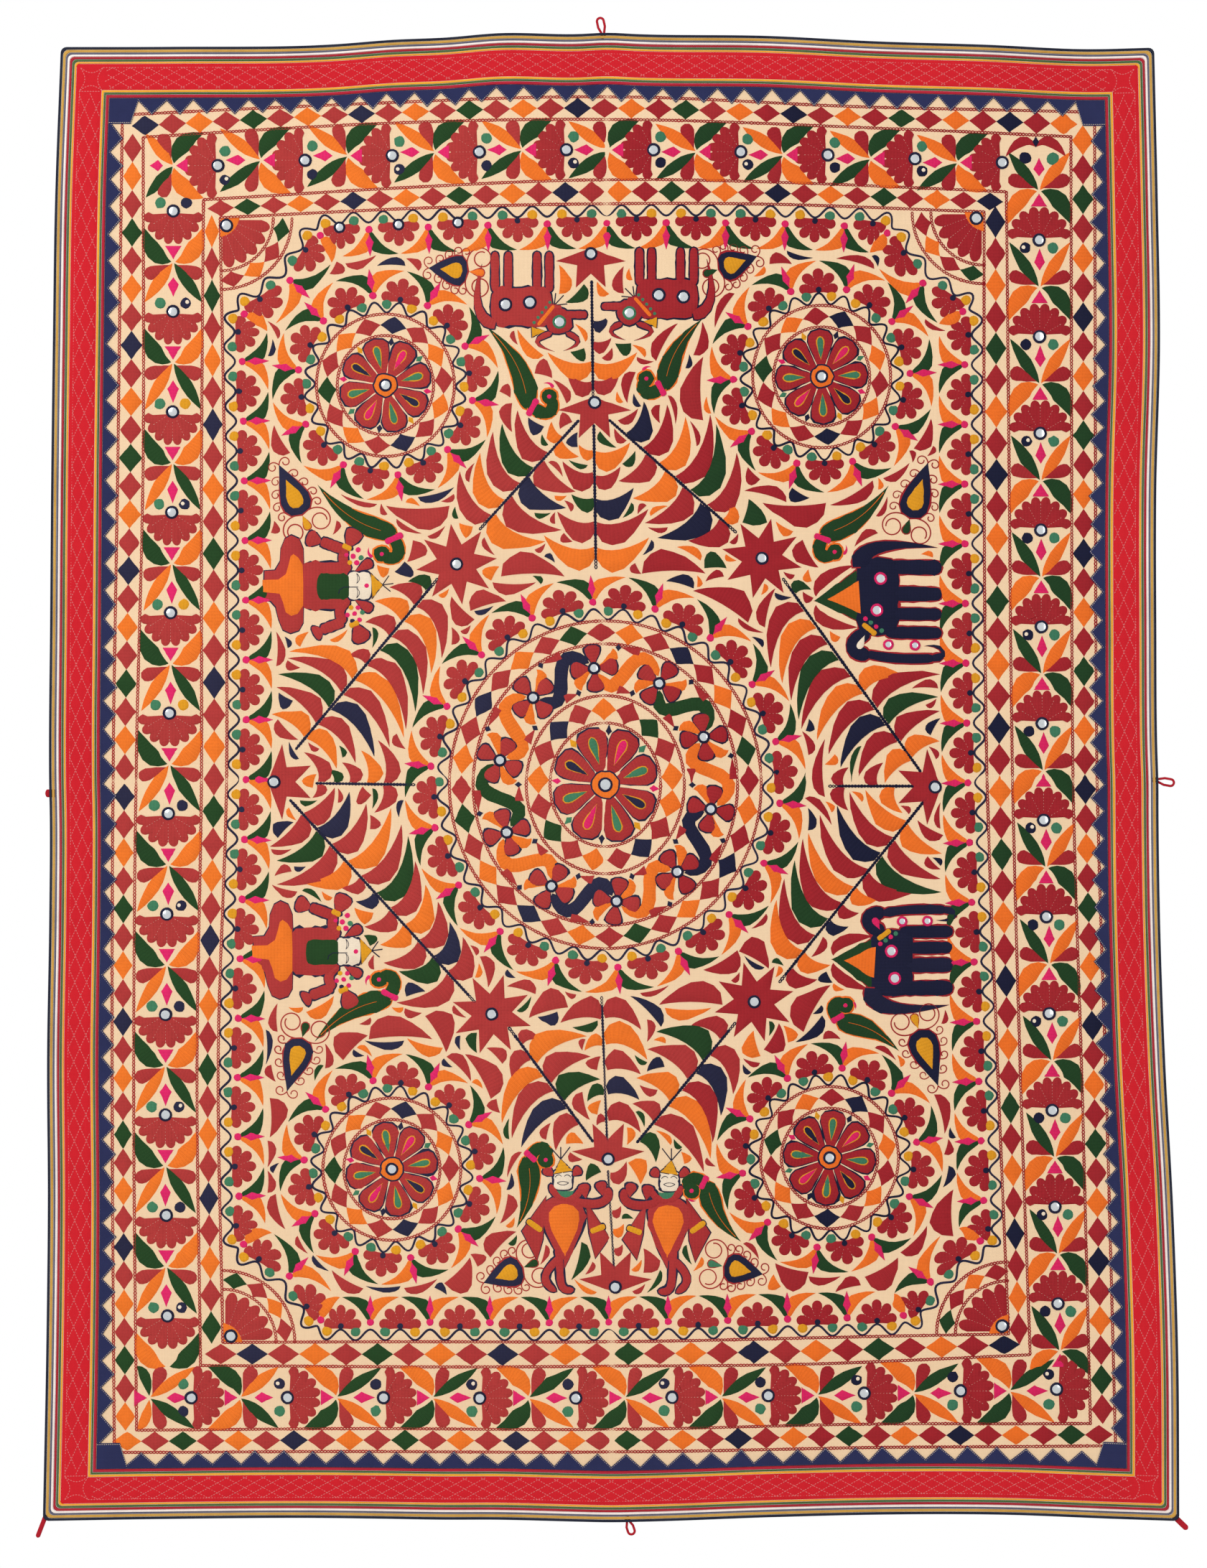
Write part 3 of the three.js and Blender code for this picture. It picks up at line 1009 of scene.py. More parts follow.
    def leaf(self, thread: Thread, points: Any, left: float, right: float, first: float) -> Blade | None:
        """Stitches a full curved leaf if its place, grown by a small gap, is still bare.

        Args:
            thread: Its colour.
            points: Its spine, from the root to the tip.
            left: Its half width on the left hand of the way to the tip.
            right: Its half width on the right hand.
            first: Share next to the root that may touch what is stitched there.

        Returns:
            The leaf, which is not marked as stitched yet, or None.
        """
        control = cubic(points)
        made = Blade(control, left, right, CLAW, 0.0, self.lot(thread, control.mean(0)))
        if not self.space.bare(made.cover(self.leaf_gap, first)):
            return None
        self.blades[thread].append(made)
        return made

    def patch(self, thread: Thread, edge: Any, middle: Any, lift: float = 0.0,
              rim: Thread | None = None) -> None:
        """Stitches one round or lobed shape, over a wider one in the rim's colour if it has a rim.

        Args:
            thread: Its colour.
            edge: Its outline.
            middle: A point that sees all of the outline.
            lift: How far it is raised.
            rim: The colour of its rim.
        """
        edge, middle = np.asarray(edge, float), np.asarray(middle, float)
        if rim:
            self.patch(rim, edge + unit(edge - middle) * RIM, middle, lift + self.under_lift)
        made = Patch(edge, middle, lift, self.lot(thread, middle))
        self.patches[thread].append(made)
        self.space.mark(made.cover())

    def dot(self, thread: Thread, middle: Any, radius: float, lift: float = 0.0, rim: Thread | None = None,
            sides: int = 12) -> None:
        """Stitches a round dot that is a little uneven.

        Args:
            thread: Its colour.
            middle: Its place.
            radius: Its mean radius.
            lift: How far it is raised.
            rim: The colour of its rim.
            sides: Points round its outline.
        """
        reach = radius * (1 + self.rng.normal(0, self.dot_uneven, sides))
        edge = np.asarray(middle, float) + circle(np.arange(sides) * 2 * np.pi / sides) * reach[:, None]
        self.patch(thread, edge, middle, lift, rim)

    def cord(self, thread: Thread, path: Any, half: float = 0.9, lift: float = 0.0) -> None:
        """Lays one stitched line along a path."""
        self.cords[thread].append((np.asarray(path, float), half, lift))
        self.space.mark(paced(np.asarray(path, float), self.mark_step)[0])

    def chain(self, piece: str, thread: Thread, path: Any) -> None:
        """Lays a row of open chain stitches.

        Args:
            piece: The piece that they are part of.
            thread: Their colour.
            path: The line that they follow.
        """
        self.chains.setdefault((piece, thread), []).append(np.asarray(path, float))
        spots, ways = paced(np.asarray(path, float), self.mark_step)
        self.space.mark(np.stack([spots + turned(ways) * c * self.chain_half for c in (-1, 0, 1)]))

    def running(self, piece: str, path: Any, lift: float, pitch: float, half: float, dye: float) -> None:
        """Lays a row of running stitches along a path."""
        self.stitches.setdefault(piece, []).append((np.asarray(path, float), lift, pitch, half, dye))

    def seam(self, path: Any) -> None:
        """Lays the seam between two petals."""
        self.running("petal_seams", path, *self.seam_stitch)

    def mirror(self, middle: Any, radius: float, lift: float, ring: Thread = NAVY) -> None:
        """Sews on one round glass under a ring of stitches."""
        self.glasses.append(Glass(np.asarray(middle, float), radius, lift, ring))
        self.space.mark(ellipse(middle, (radius + 2, radius + 2), 60))

    def add_blades(self, mesher: Mesher, blades: list[Blade], rows: int) -> None:
        """Blade surfaces: the spine plus the half width across it, risen a short way in from both edges.

        Args:
            mesher: Takes the surfaces.
            blades: What to build.
            rows: Points along each spine.
        """
        count = len(blades)
        steps = np.linspace(0, 1, rows)
        u = np.stack([b.outline.places(steps) for b in blades])
        share = np.stack([b.outline.share(row) for b, row in zip(blades, u)])
        spine = bezier(column(blades, "control"), u)
        aside = turned(unit(np.gradient(spine, axis=1)))
        wobble = 1 + self.rng.normal(0, self.blade_uneven, share.shape)
        low, high = (np.maximum(column(blades, side)[:, None] * share * wobble, self.thinnest)
                     for side in ("left", "right"))
        low_in, high_in = (half - np.minimum(self.blade_share * half, self.shoulder) for half in (low, high))
        offset = np.stack([-low, -low_in, 0 * low, high_in, high], -1)
        xy = spine[:, :, None] + aside[:, :, None] * offset[..., None]
        factor, least = self.blade_rise
        rise = np.clip(factor * share, least, 1)[..., None]
        lift = column(blades, "lift")[:, None, None]
        points = self.form.lay(xy, GROUND_TOP + lift + self.fill_height * self.dome * rise)
        gone = np.broadcast_to(gone_along(spine)[..., None], offset.shape)
        marks = np.stack([gone, offset], -1).reshape(count, -1, 2) * MM
        faces = capped_faces(rows, len(self.dome))
        mesher.add(points.reshape(count, -1, 3), faces, marks, column(blades, "dye"))

    def add_patches(self, mesher: Mesher, patches: list[Patch]) -> None:
        """Patch surfaces: rings half way to the outline, a short way in from it and on it, domed by ring.

        Args:
            mesher: Takes the surfaces.
            patches: What to build, all with as many points round them.
        """
        edge, middle = column(patches, "edge"), column(patches, "middle")[:, None]
        reach = edge - middle
        far = np.linalg.norm(reach, axis=-1)
        inner = 1 - np.minimum(self.patch_share, self.shoulder / far)
        shares = np.stack([np.full_like(far, self.inner_ring), inner, np.ones_like(far)], 1)
        ringed = middle[:, None] + reach[:, None] * shares[..., None]
        xy = np.concatenate([ringed.reshape(len(patches), -1, 2), middle, middle], 1)
        dome = np.concatenate([np.repeat(self.ring_dome, edge.shape[1]), self.pole_dome])
        lift = column(patches, "lift")[:, None]
        points = self.form.lay(xy, GROUND_TOP + lift + self.fill_height * dome)
        faces = disc_faces(len(self.ring_dome), edge.shape[1])
        mesher.add(points, faces, (xy - middle) * MM, column(patches, "dye"))

    def add_cord(self, mesher: Mesher, path: Array, half: float, lift: float, dye: float) -> None:
        """A stitched line: a low three-sided section carried along the path.

        Args:
            mesher: Takes the surface.
            path: The line.
            half: Its half width.
            lift: How far it is raised.
            dye: Share of the second dye lot.
        """
        spread = half * np.array([-1, 0, 1])
        xy = path[:, None] + turned(unit(np.gradient(path, axis=0)))[:, None] * spread[:, None]
        points = self.form.lay(xy, GROUND_TOP + lift + self.cord_rise)
        marks = np.stack(np.broadcast_arrays(gone_along(path)[:, None], spread[None]), -1) * MM
        mesher.add(points.reshape(1, -1, 3), capped_faces(len(path), 3), marks.reshape(1, -1, 2), dye)

    def add_chain(self, mesher: Mesher, paths: list[Array]) -> None:
        """Chain links: small oval rings of three-sided section, one for each step of the paths.

        Args:
            mesher: Takes the surfaces.
            paths: The lines that the links follow.
        """
        spots, ways = (np.concatenate(part) for part in zip(*(paced(p, self.link_pitch) for p in paths)))
        ring = circle((np.arange(self.link_sides) + 0.5) * 2 * np.pi / self.link_sides)
        size = np.array([self.link_pitch * self.link_share, self.link_half])
        local = ring[:, None] * (size + self.link_thread[:, None])
        grow = 1 + self.rng.normal(0, self.link_uneven, (len(spots), 1, 1))
        xy = spots[:, None, None] + grow[..., None] * (
            ways[:, None, None] * local[None, ..., :1] + turned(ways)[:, None, None] * local[None, ..., 1:])
        lift = np.broadcast_to(GROUND_TOP + self.link_rise, xy.shape[:-1])
        points = self.form.lay(xy, lift).reshape(len(spots), -1, 3)
        turns = np.arange(self.link_sides)[:, None] * self.link_turn
        marks = np.stack(np.broadcast_arrays(turns, self.link_thread[None]), -1).reshape(-1, 2) * MM
        start, run, spread = self.chain_lot
        dye = np.clip((spots[:, 0] - start) / run + self.rng.normal(0, spread, len(spots)), 0, 1)
        mesher.add(points, grid_faces(self.link_sides, 3, ring=True), marks, dye)

    def add_running(self, mesher: Mesher, rows: list[tuple[Array, float, float, float, float]]) -> None:
        """Running stitches: slim lozenges that dip into the cloth at both ends.

        Args:
            mesher: Takes the surfaces.
            rows: The path, height, pitch, half width and dye of each row.
        """
        corners = np.array([(-1, 0), (1, 0), (0, -1), (0, 1), (0, 0), (0, 0)], float)
        faces = np.array([(a, b, c) for c in (4, 5) for a, b in ((0, 2), (2, 1), (1, 3), (3, 0))])
        faces[4:] = faces[4:, ::-1]
        for path, lift, pitch, half, dye in rows:
            spots, ways = paced(path, pitch)
            local = corners * np.array([pitch * self.stitch_share, half])
            xy = spots[:, None] + ways[:, None] * local[:, :1] + turned(ways)[:, None] * local[:, 1:]
            mesher.add(self.form.lay(xy, lift + self.stitch_rise), faces, local * MM, dye)

    def add_glasses(self, mesher: Mesher) -> None:
        """Round glasses: a flat top with a small chamfer, tipped a little as each was sewn.

        Args:
            mesher: Takes the surfaces.
        """
        ring, sides = circle(self.mirror_turns), len(self.mirror_turns)
        local = np.concatenate([ring * self.chamfer, ring, ring, np.zeros((2, 2))])
        rise = np.append(np.repeat(self.glass_rise, sides), (self.glass_rise[0], self.glass_rise[-1]))
        spread = local * column(self.glasses, "radius")[:, None, None]
        tip = np.einsum("nvk,nk->nv", spread, self.rng.normal(0, self.glass_tip, (len(spread), 2)))
        lift = GROUND_TOP + column(self.glasses, "lift")[:, None] + rise + tip
        points = self.form.lay(column(self.glasses, "middle")[:, None] + spread, lift)
        mesher.add(points, disc_faces(len(self.glass_rise), sides), local * MM)

    def add_rings(self, mesher: Mesher, glasses: list[Glass]) -> None:
        """Thread rings: a rounded section carried round each glass, its stitches lying across the rim.

        Args:
            mesher: Takes the surfaces.
            glasses: The glasses that have a ring in this colour.
        """
        count, sides, rows = len(glasses), len(self.mirror_turns), len(self.ring_reach)
        radii = column(glasses, "radius")[:, None, None, None]
        uneven = self.rng.normal(0, self.ring_uneven, (count, sides, 1, 1))
        xy = column(glasses, "middle")[:, None, None] + circle(self.mirror_turns)[:, None] * (
            radii + self.ring_reach[:, None] + uneven)
        lift = GROUND_TOP + column(glasses, "lift")[:, None, None] + self.ring_rise
        points = self.form.lay(xy, np.broadcast_to(lift, xy.shape[:-1])).reshape(count, -1, 3)
        turns = (self.mirror_turns * self.ring_stitches)[:, None]
        marks = np.stack(np.broadcast_arrays(self.ring_reach, turns), -1).reshape(-1, 2) * MM
        mesher.add(points, grid_faces(sides, rows, ring=True), marks, self.ring_dye)

    def add_shapes(self, mesher: Mesher, thread: Thread) -> None:
        """Everything that is filled or drawn in one colour: short blades, long ones, patches, then lines.

        Args:
            mesher: Takes the surfaces.
            thread: The colour.
        """
        for is_long, rows in ((False, self.short_rows), (True, self.long_rows)):
            blades = [b for b in self.blades[thread] if b.long == is_long]
            if blades:
                self.add_blades(mesher, blades, rows)
        for sides in sorted({len(p.edge) for p in self.patches[thread]}):
            self.add_patches(mesher, [p for p in self.patches[thread] if len(p.edge) == sides])
        for path, half, lift in self.cords[thread]:
            self.add_cord(mesher, path, half, lift, self.lot(thread, path.mean(0)))

    def build(self) -> list[bpy.types.Object]:
        """Builds all the pieces: filled shapes by colour, chains, running stitches, rings and glasses.

        Returns:
            The finished pieces.
        """
        jobs = [(thread.piece("stitched_shapes"), thread, self.add_shapes, thread) for thread in Thread]
        jobs += [(piece, thread, self.add_chain, paths) for (piece, thread), paths in self.chains.items()]
        jobs += [(piece, PALE, self.add_running, rows) for piece, rows in self.stitches.items()]
        jobs += [(thread.piece("mirror_rings"), thread, self.add_rings,
                  [glass for glass in self.glasses if glass.ring is thread]) for thread in self.ring_colours]
        made = []
        for piece, thread, add, shapes in jobs:
            mesher = Mesher()
            add(mesher, shapes)
            made.append(mesher.build(piece, THREAD_FINISHES[thread], thread.value))
        mesher = Mesher()
        self.add_glasses(mesher)
        glass = mesher.build("round_mirrors", GlassFinish(), "mirror_glass")
        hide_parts(*(f"mirror_{name}" for name in self.cad_mirrors))
        return [*made, glass]


@dataclass(frozen=True)
class FrameLine:
    """One stitched rectangle that follows the cloth's uneven sides.

    Each side has five draft places at even steps from its left or top end: y on the top and bottom, x on
    the left and right.
    """

    top: tuple[float, ...]
    bottom: tuple[float, ...]
    left: tuple[float, ...]
    right: tuple[float, ...]

    def span(self, side: Side) -> Spot:
        """Where a side starts and ends, along itself."""
        end = 0 if side in (TOP, LEFT) else -1
        return (self.left[end], self.right[end]) if side.level else (self.top[end], self.bottom[end])

    def across(self, side: Side, along: Array) -> Array:
        """Where the line lies across a side, at places along it."""
        return Profile(np.linspace(*self.span(side), 5), getattr(self, side.value))(along)

    def points(self, side: Side, start: float, end: float, step: float = 6.0) -> Array:
        """Draft points along a side.

        Args:
            side: The side.
            start: Where along it they start.
            end: Where they end.
            step: About how far apart they are.

        Returns:
            The points in order.
        """
        along = np.linspace(start, end, max(2, round(abs(end - start) / step)))
        rows = (along, self.across(side, along))
        return np.stack(rows if side.level else rows[::-1], -1)

    def path(self) -> Array:
        """The whole rectangle, clockwise from its top left corner."""
        top, bottom, left, right = (self.points(side, *self.span(side)) for side in Side)
        return np.concatenate([top, right[1:], bottom[::-1][1:], left[::-1][1:]])


FRAME_LINES = (
    FrameLine((161, 145, 135.5, 149, 157), (2022, 2021, 2021.5, 2015.5, 2013),
              (171, 165, 158, 157, 160), (1524, 1525, 1527.5, 1541, 1553)),
    FrameLine((192, 173, 167, 177, 191), (1991, 1989, 1990, 1983, 1982),
              (200, 200, 190, 187, 191), (1491, 1492, 1494, 1507, 1518)),
    FrameLine((279, 262, 251, 256, 268), (1901, 1903, 1902, 1898.5, 1886),
              (284, 281, 281, 275, 280), (1401, 1405, 1409.5, 1420, 1434)),
    FrameLine((304, 291, 284.5, 286, 296), (1869, 1868, 1868, 1862.5, 1857),
              (307, 314, 316, 304.5, 311), (1370, 1370, 1374, 1388, 1404)),
)


@dataclass
class DiamondBand:
    """A row of stitched diamonds between two frame lines on each side."""

    outer: FrameLine
    inner: FrameLine
    # side, first and last middle along the side, how many, where in the colour cycle the row starts
    rows: tuple[tuple[Side, float, float, int, int], ...]

    clear: float = 1.4
    cycle: tuple[Thread, ...] = (NAVY, MAROON, ORANGE, MAROON, GREEN, MAROON, ORANGE, MAROON)

    def stitch(self, work: Embroidery) -> None:
        """Each diamond reaches from line to line, and its points meet the next one's.

        Args:
            work: Takes the diamonds.
        """
        for side, first, last, count, start in self.rows:
            along = np.linspace(first, last, count)
            half = (last - first) / (count - 1) / 2
            lines = (self.outer, self.inner)
            slopes = [line.across(side, along + half) - line.across(side, along - half) for line in lines]
            tilts = (slopes[0] + slopes[1]) / 4
            edges = (line.across(side, along) for line in lines)
            for k, (at, tilt, low, high) in enumerate(zip(along, tilts, *edges)):
                middle = (low + high) / 2
                ends = [(at - half, middle - tilt), (at + half, middle + tilt)]
                ends = ends if side.level else [end[::-1] for end in ends]
                thread = self.cycle[(start + k) % len(self.cycle)]
                work.blade(thread, DIAMOND, ends, abs(high - low) / 2 - self.clear)


@dataclass
class FlowerBand:
    """Half flowers with mirrors between the second and third lines, with leaves, drops and spears between."""

    outer: FrameLine
    inner: FrameLine

    # side, first and last mirror along the side, how many, the way petals point away from
    runs: tuple[tuple[Side, float, float, int, Spot], ...] = (
        (TOP, 304, 1395, 10, (1, 0)), (LEFT, 295, 1832, 12, (0, -1)),
        (RIGHT, 335, 1815, 12, (0, 1)), (BOTTOM, 267, 1471, 10, (-1, 0)))
    flower_depth: float = 45.0
    flower_half: float = 43.5
    lobes: int = 8
    notch: float = 0.17
    seams: tuple[float, ...] = (118, 149, 180, 211, 242)
    seam_reach: Spot = (11, 34)
    dot: float = 7.9
    dot_place: Spot = (10, 19)
    # flowers of the left side whose second dot is gold
    gold_dots: tuple[int, ...] = (2, 4, 5)
    drawn_pitch: float = 121.0
    drawn_width: float = 88.0
    # where along the unit the leaves cross, past the petals
    crossing: float = -62.0
    # the two half widths of the leaves that embrace the petals, and of those that lead away
    embrace_widths: Spot = (9.5, 15.5)
    forward_widths: Spot = (6.5, 11.0)
    # how far the leaves reach in a run's first unit, on the top and on the other sides
    top_start: float = 0.68
    start_reach: float = 0.85
    # what ends the bottom and the right run: how far leaves reach behind, and how far in the last are moved
    bottom_behind: float = 0.4
    bottom_shift: float = 8
    right_behind: float = 0.72
    corner_spot: Spot = (1442.0, 198.0)

    def stitch(self, work: Embroidery) -> None:
        """Lays the units along each side, then what fills the corners.

        Args:
            work: Takes the shapes.
        """
        for side, first, last, count, along in self.runs:
            pitch = (last - first) / (count - 1)
            for k, at in enumerate(np.linspace(first, last, count)):
                start, end = k == 0, k == count - 1
                place = self.place(side, at, along, pitch, side is BOTTOM and start)
                self.flower(work, place, side, k, dots=not (side is TOP and end))
                if side is LEFT and end:
                    self.embrace(work, self.place(side, at, along, pitch, True))
                elif not (side is BOTTOM and end):
                    reach = self.top_start if side is TOP else self.start_reach
                    self.leaves(work, place, reach if start else 1.0)
            if side is BOTTOM:
                place = self.place(side, first - pitch + self.bottom_shift, along, pitch, True)
                self.leaves(work, place, behind=self.bottom_behind)
            if side is RIGHT:
                self.leaves(work, self.place(side, last + pitch, along, pitch), behind=self.right_behind)
        self.corner(work)

    def place(self, side: Side, at: float, along: Spot, pitch: float, mirrored: bool = False) -> Place:
        """A unit's place, with its mirror midway between the two lines.

        Args:
            side: The side of the cloth.
            at: Where along the side the mirror is.
            along: The way petals point away from.
            pitch: Distance between mirrors.
            mirrored: Whether the unit is drawn the other way round.

        Returns:
            The place, stretched to the room there is.
        """
        lines = [float(line.across(side, np.array(at))) for line in (self.outer, self.inner)]
        middle = sum(lines) / 2
        origin = (at, middle) if side.level else (middle, at)
        scale = (pitch / self.drawn_pitch, abs(lines[1] - lines[0]) / self.drawn_width)
        return Place(origin, along, mirrored, scale)

    def outline(self, place: Place) -> Array:
        """A half ellipse about the mirror whose round side is a row of lobes.

        Args:
            place: The unit's place.

        Returns:
            Draft points round the flower.
        """
        turn = np.linspace(np.pi / 2, 3 * np.pi / 2, 6 * self.lobes + 1)
        lobe = np.abs(np.sin((turn - np.pi / 2) * self.lobes)) ** 0.7
        reach = 1.02 - self.notch + self.notch * lobe
        depth = self.flower_depth / place.scale[0]
        arc = np.stack([depth * np.cos(turn) * reach - 1, self.flower_half * np.sin(turn) * reach], -1)
        flat = [(-2 - 2 * abs(c) / 40, c) for c in np.linspace(-33, 33, 8)]
        return place.all([*arc, *flat])

    def flower(self, work: Embroidery, place: Place, side: Side, k: int, dots: bool) -> None:
        """The half flower, its mirror and the two dots beside it, some of the navy ones worn through.

        Args:
            work: Takes the shapes.
            place: The unit's place.
            side: The side of the cloth.
            k: The unit's number on that side.
            dots: Whether it has dots.
        """
        work.patch(MAROON, self.outline(place), place.at(-15, 0))
        for angle in self.seams:
            work.seam(place.all([polar(angle, 1.0) * reach for reach in self.seam_reach]))
        work.mirror(place.at(0, 0), 6.6, 0.25)
        if not dots:
            return
        x, y = self.dot_place
        work.dot(SEA_GREEN, place.at(x, -y), self.dot)
        gold = side is LEFT and k in self.gold_dots
        work.dot(GOLD if gold else NAVY, place.at(x, y), self.dot)
        wear = (3 * k + len(side.value)) % 4
        if wear % 2 and not gold:
            work.dot(PALE, place.at(x, y) + polar(140 + 60 * wear, 2.6), 3.0, 0.3, sides=8)

    def pair(self, work: Embroidery, place: Place, colours: Sequence[Thread], spine: Sequence[Spot],
             widths: Sequence[float]) -> None:
        """Two like leaves to both sides of a unit's middle line, the fuller edge of each outwards.

        Args:
            work: Takes the leaves.
            place: The unit's place.
            colours: The left and the right leaf's colour.
            spine: The right leaf's spine.
            widths: The half widths of the inner and the outer edge.
        """
        for thread, c in zip(colours, (-1, 1)):
            sides = widths if (c < 0) != place.mirrored else widths[::-1]
            work.blade(thread, LENS, place.all([(a, b * c) for a, b in spine]), *sides)

    def embrace(self, work: Embroidery, place: Place, behind: float = 1.0) -> None:
        """Two curved leaves that reach back round the petals.

        Args:
            work: Takes the leaves.
            place: The unit they belong to.
            behind: How far they reach.
        """
        n = self.crossing
        widths = [size * (0.4 + 0.6 * behind) for size in self.embrace_widths]
        self.pair(work, place, (GREEN, ORANGE), [(n + 1, 3), (n + 1, 37), (n + 42 * behind, 43)], widths)

    def leaves(self, work: Embroidery, place: Place, ahead: float = 1.0, behind: float = 1.0) -> None:
        """Leaves, drops, spear and triangle round the point where they cross, ahead of the petals.

        Args:
            work: Takes the shapes.
            place: The unit they belong to.
            ahead: How far those that lead away from the petals reach.
            behind: How far the pair that embraces the petals reaches.
        """
        n = self.crossing
        self.embrace(work, place, behind)
        forward = [(n - 1, 1.5), (n - 27 * ahead, 15), (n - 56 * ahead, 42)]
        self.pair(work, place, (ORANGE, GREEN), forward, self.forward_widths)
        for c in (-1, 1):
            work.blade(MAROON, DROP, place.all([(n - 3, 5 * c), (n - 16, 42 * c)]), 9.8)
        work.blade(PINK, KITE, place.all([(n - 21 * ahead, 0), (n - 48 * ahead, 0)]), 8.0)
        work.blade(PINK, TRIANGLE, place.all([(n + 20, 0), (n + 4, 0)]), 11.5)

    def corner(self, work: Embroidery) -> None:
        """The top right corner: two lobes that droop from a small diamond, with a dot under each.

        Args:
            work: Takes the shapes.
        """
        x, y = self.corner_spot
        for c in (-1, 1):
            work.blade(MAROON, LENS, [(x + c, y + 7), (x + 17 * c, y - 14), (x + 42 * c, y + 21)], 7.5)
        work.blade(NAVY, DIAMOND, [(x, y - 7), (x, y + 8)], 5.0, lift=0.35)
        work.dot(NAVY, (x - 15, y + 23), 9.0)
        work.dot(SEA_GREEN, (x + 24, y + 24), 9.0)


class ClosedPath:
    """A closed line on the draft that shapes are laid along, with an inward or outward side."""

    look = 4.0
    tight_span = 0.35
    tight_turn = 0.5

    def __init__(self, points: Array, repeats: int) -> None:
        """Keeps even steps along the line.

        Args:
            points: The line's points in order, the last next to the first.
            repeats: How many like units share its length.
        """
        self.loop, self.repeats = np.concatenate([points, points[:1]]), repeats
        self.gone = gone_along(self.loop)
        self.pitch = self.gone[-1] / repeats

    def at(self, place: Array, out: Array | float) -> Array:
        """Draft points at places counted in units, moved off the line to its right-hand side."""
        return self.on(place) + turned(self.way(place)) * np.asarray(out)[..., None]

    def on(self, place: Array | float, shift: float = 0.0) -> Array:
        """Points of the line itself, a little further along by the shift in millimetres."""
        gone = (np.asarray(place) * self.pitch + shift) % self.gone[-1]
        return between(gone, self.gone, self.loop)

    def way(self, place: Array | float) -> Array:
        """Directions of travel."""
        return unit(self.on(place, self.look) - self.on(place, -self.look))

    def tight(self, place: float) -> bool:
        """True where the line turns so sharply to the right within one unit that shapes would crowd."""
        before, after = self.way(place - self.tight_span), self.way(place + self.tight_span)
        return float(before[0] * after[1] - before[1] * after[0]) > self.tight_turn


@dataclass
class ArchRow:
    """Small flowers under leafy arches, in a row along a closed path."""

    path: ClosedPath
    start: float = 0.0
    mirrors: tuple[int, ...] = ()

    width: float = 84.0
    lobe_turn: float = 41.6
    flower_reach: float = 30.0
    base: float = 22
    seam_reach: Spot = (7.0, 21.0)
    # how far off the path the wavy line lies, how far it sways, and its half width
    wave: tuple[float, ...] = (9.5, 7.5, 1.7)
    joint: float = 42
    leaf_spine: tuple[Spot, ...] = ((39, 30), (36, 53), (2, 62))
    leaf_widths: Spot = (5.0, 13.5)

    def spots(self, unit_at: float, rows: Sequence[Spot]) -> Array:
        """Draft places of places along the unit, in millimetres, and off the path."""
        local = np.array(rows, float)
        return self.path.at(self.start + unit_at + local[:, 0] / self.width, local[:, 1])

    def stitch(self, work: Embroidery) -> None:
        """Lays the units, then the wavy line that passes outside their dots.

        Args:
            work: Takes the shapes.
        """
        for k in range(self.path.repeats):
            self.flower(work, k)
            self.arch(work, k)
        steps = np.linspace(0, self.path.repeats, 28 * self.path.repeats + 1)
        out, sway, half = self.wave
        work.cord(NAVY, self.path.at(self.start + steps, out + sway * np.cos(4 * np.pi * steps)), half)

    def arch(self, work: Embroidery, k: int) -> None:
        """A flower's dots, the joint with its spear and the two leaves of its arch.

        Args:
            work: Takes the shapes.
            k: The unit's number.
        """
        base = self.spots(k, [(0, self.base)])[0]
        if k in self.mirrors:
            work.mirror(base, 5.6, 0.3)
        else:
            work.dot(NAVY, base, 4.6, 0.25)
        pair = (SEA_GREEN, GOLD)
        for thread, along in zip(pair if k % 2 else pair[::-1], (-21, 21)):
            work.dot(thread, self.spots(k, [(along, 14)])[0], 7.2)
        before, after = (self.path.tight(self.start + k + c * 0.5) for c in (-1, 1))
        work.dot(PINK, self.spots(k, [(self.joint, 27)])[0], 5.4, sides=10)
        if not after:
            work.blade(PINK, KITE, self.spots(k, [(self.joint, 33), (self.joint, 64)]), 6.6, lift=0.35)
        for thread, c, crowded in ((GREEN, -1, before), (ORANGE, 1, False)):
            if not crowded:
                spine = self.spots(k, [(c * a, out) for a, out in self.leaf_spine])
                work.blade(thread, CLAW, spine, *self.leaf_widths[::-c])

    def flower(self, work: Embroidery, k: int) -> None:
        """A fan of five lobes about its base, with a pale seam between each two.

        Args:
            work: Takes the shapes.
            k: The unit's number.
        """
        turns = np.linspace(-2.5, 2.5, 41) * self.lobe_turn
        reach = self.flower_reach * (0.68 + 0.32 * np.abs(np.cos(np.pi * turns / self.lobe_turn)) ** 0.6)
        rim = [(r * math.sin(t), self.base + r * math.cos(t)) for t, r in zip(np.radians(turns), reach)]
        work.patch(MAROON, self.spots(k, [*rim, (8, 18), (-8, 18)]), self.spots(k, [(0, 30)])[0])
        for turn in np.array([-1.5, -0.5, 0.5, 1.5]) * math.radians(self.lobe_turn):
            ends = [(r * math.sin(turn), self.base + r * math.cos(turn)) for r in self.seam_reach]
            work.seam(self.spots(k, ends))


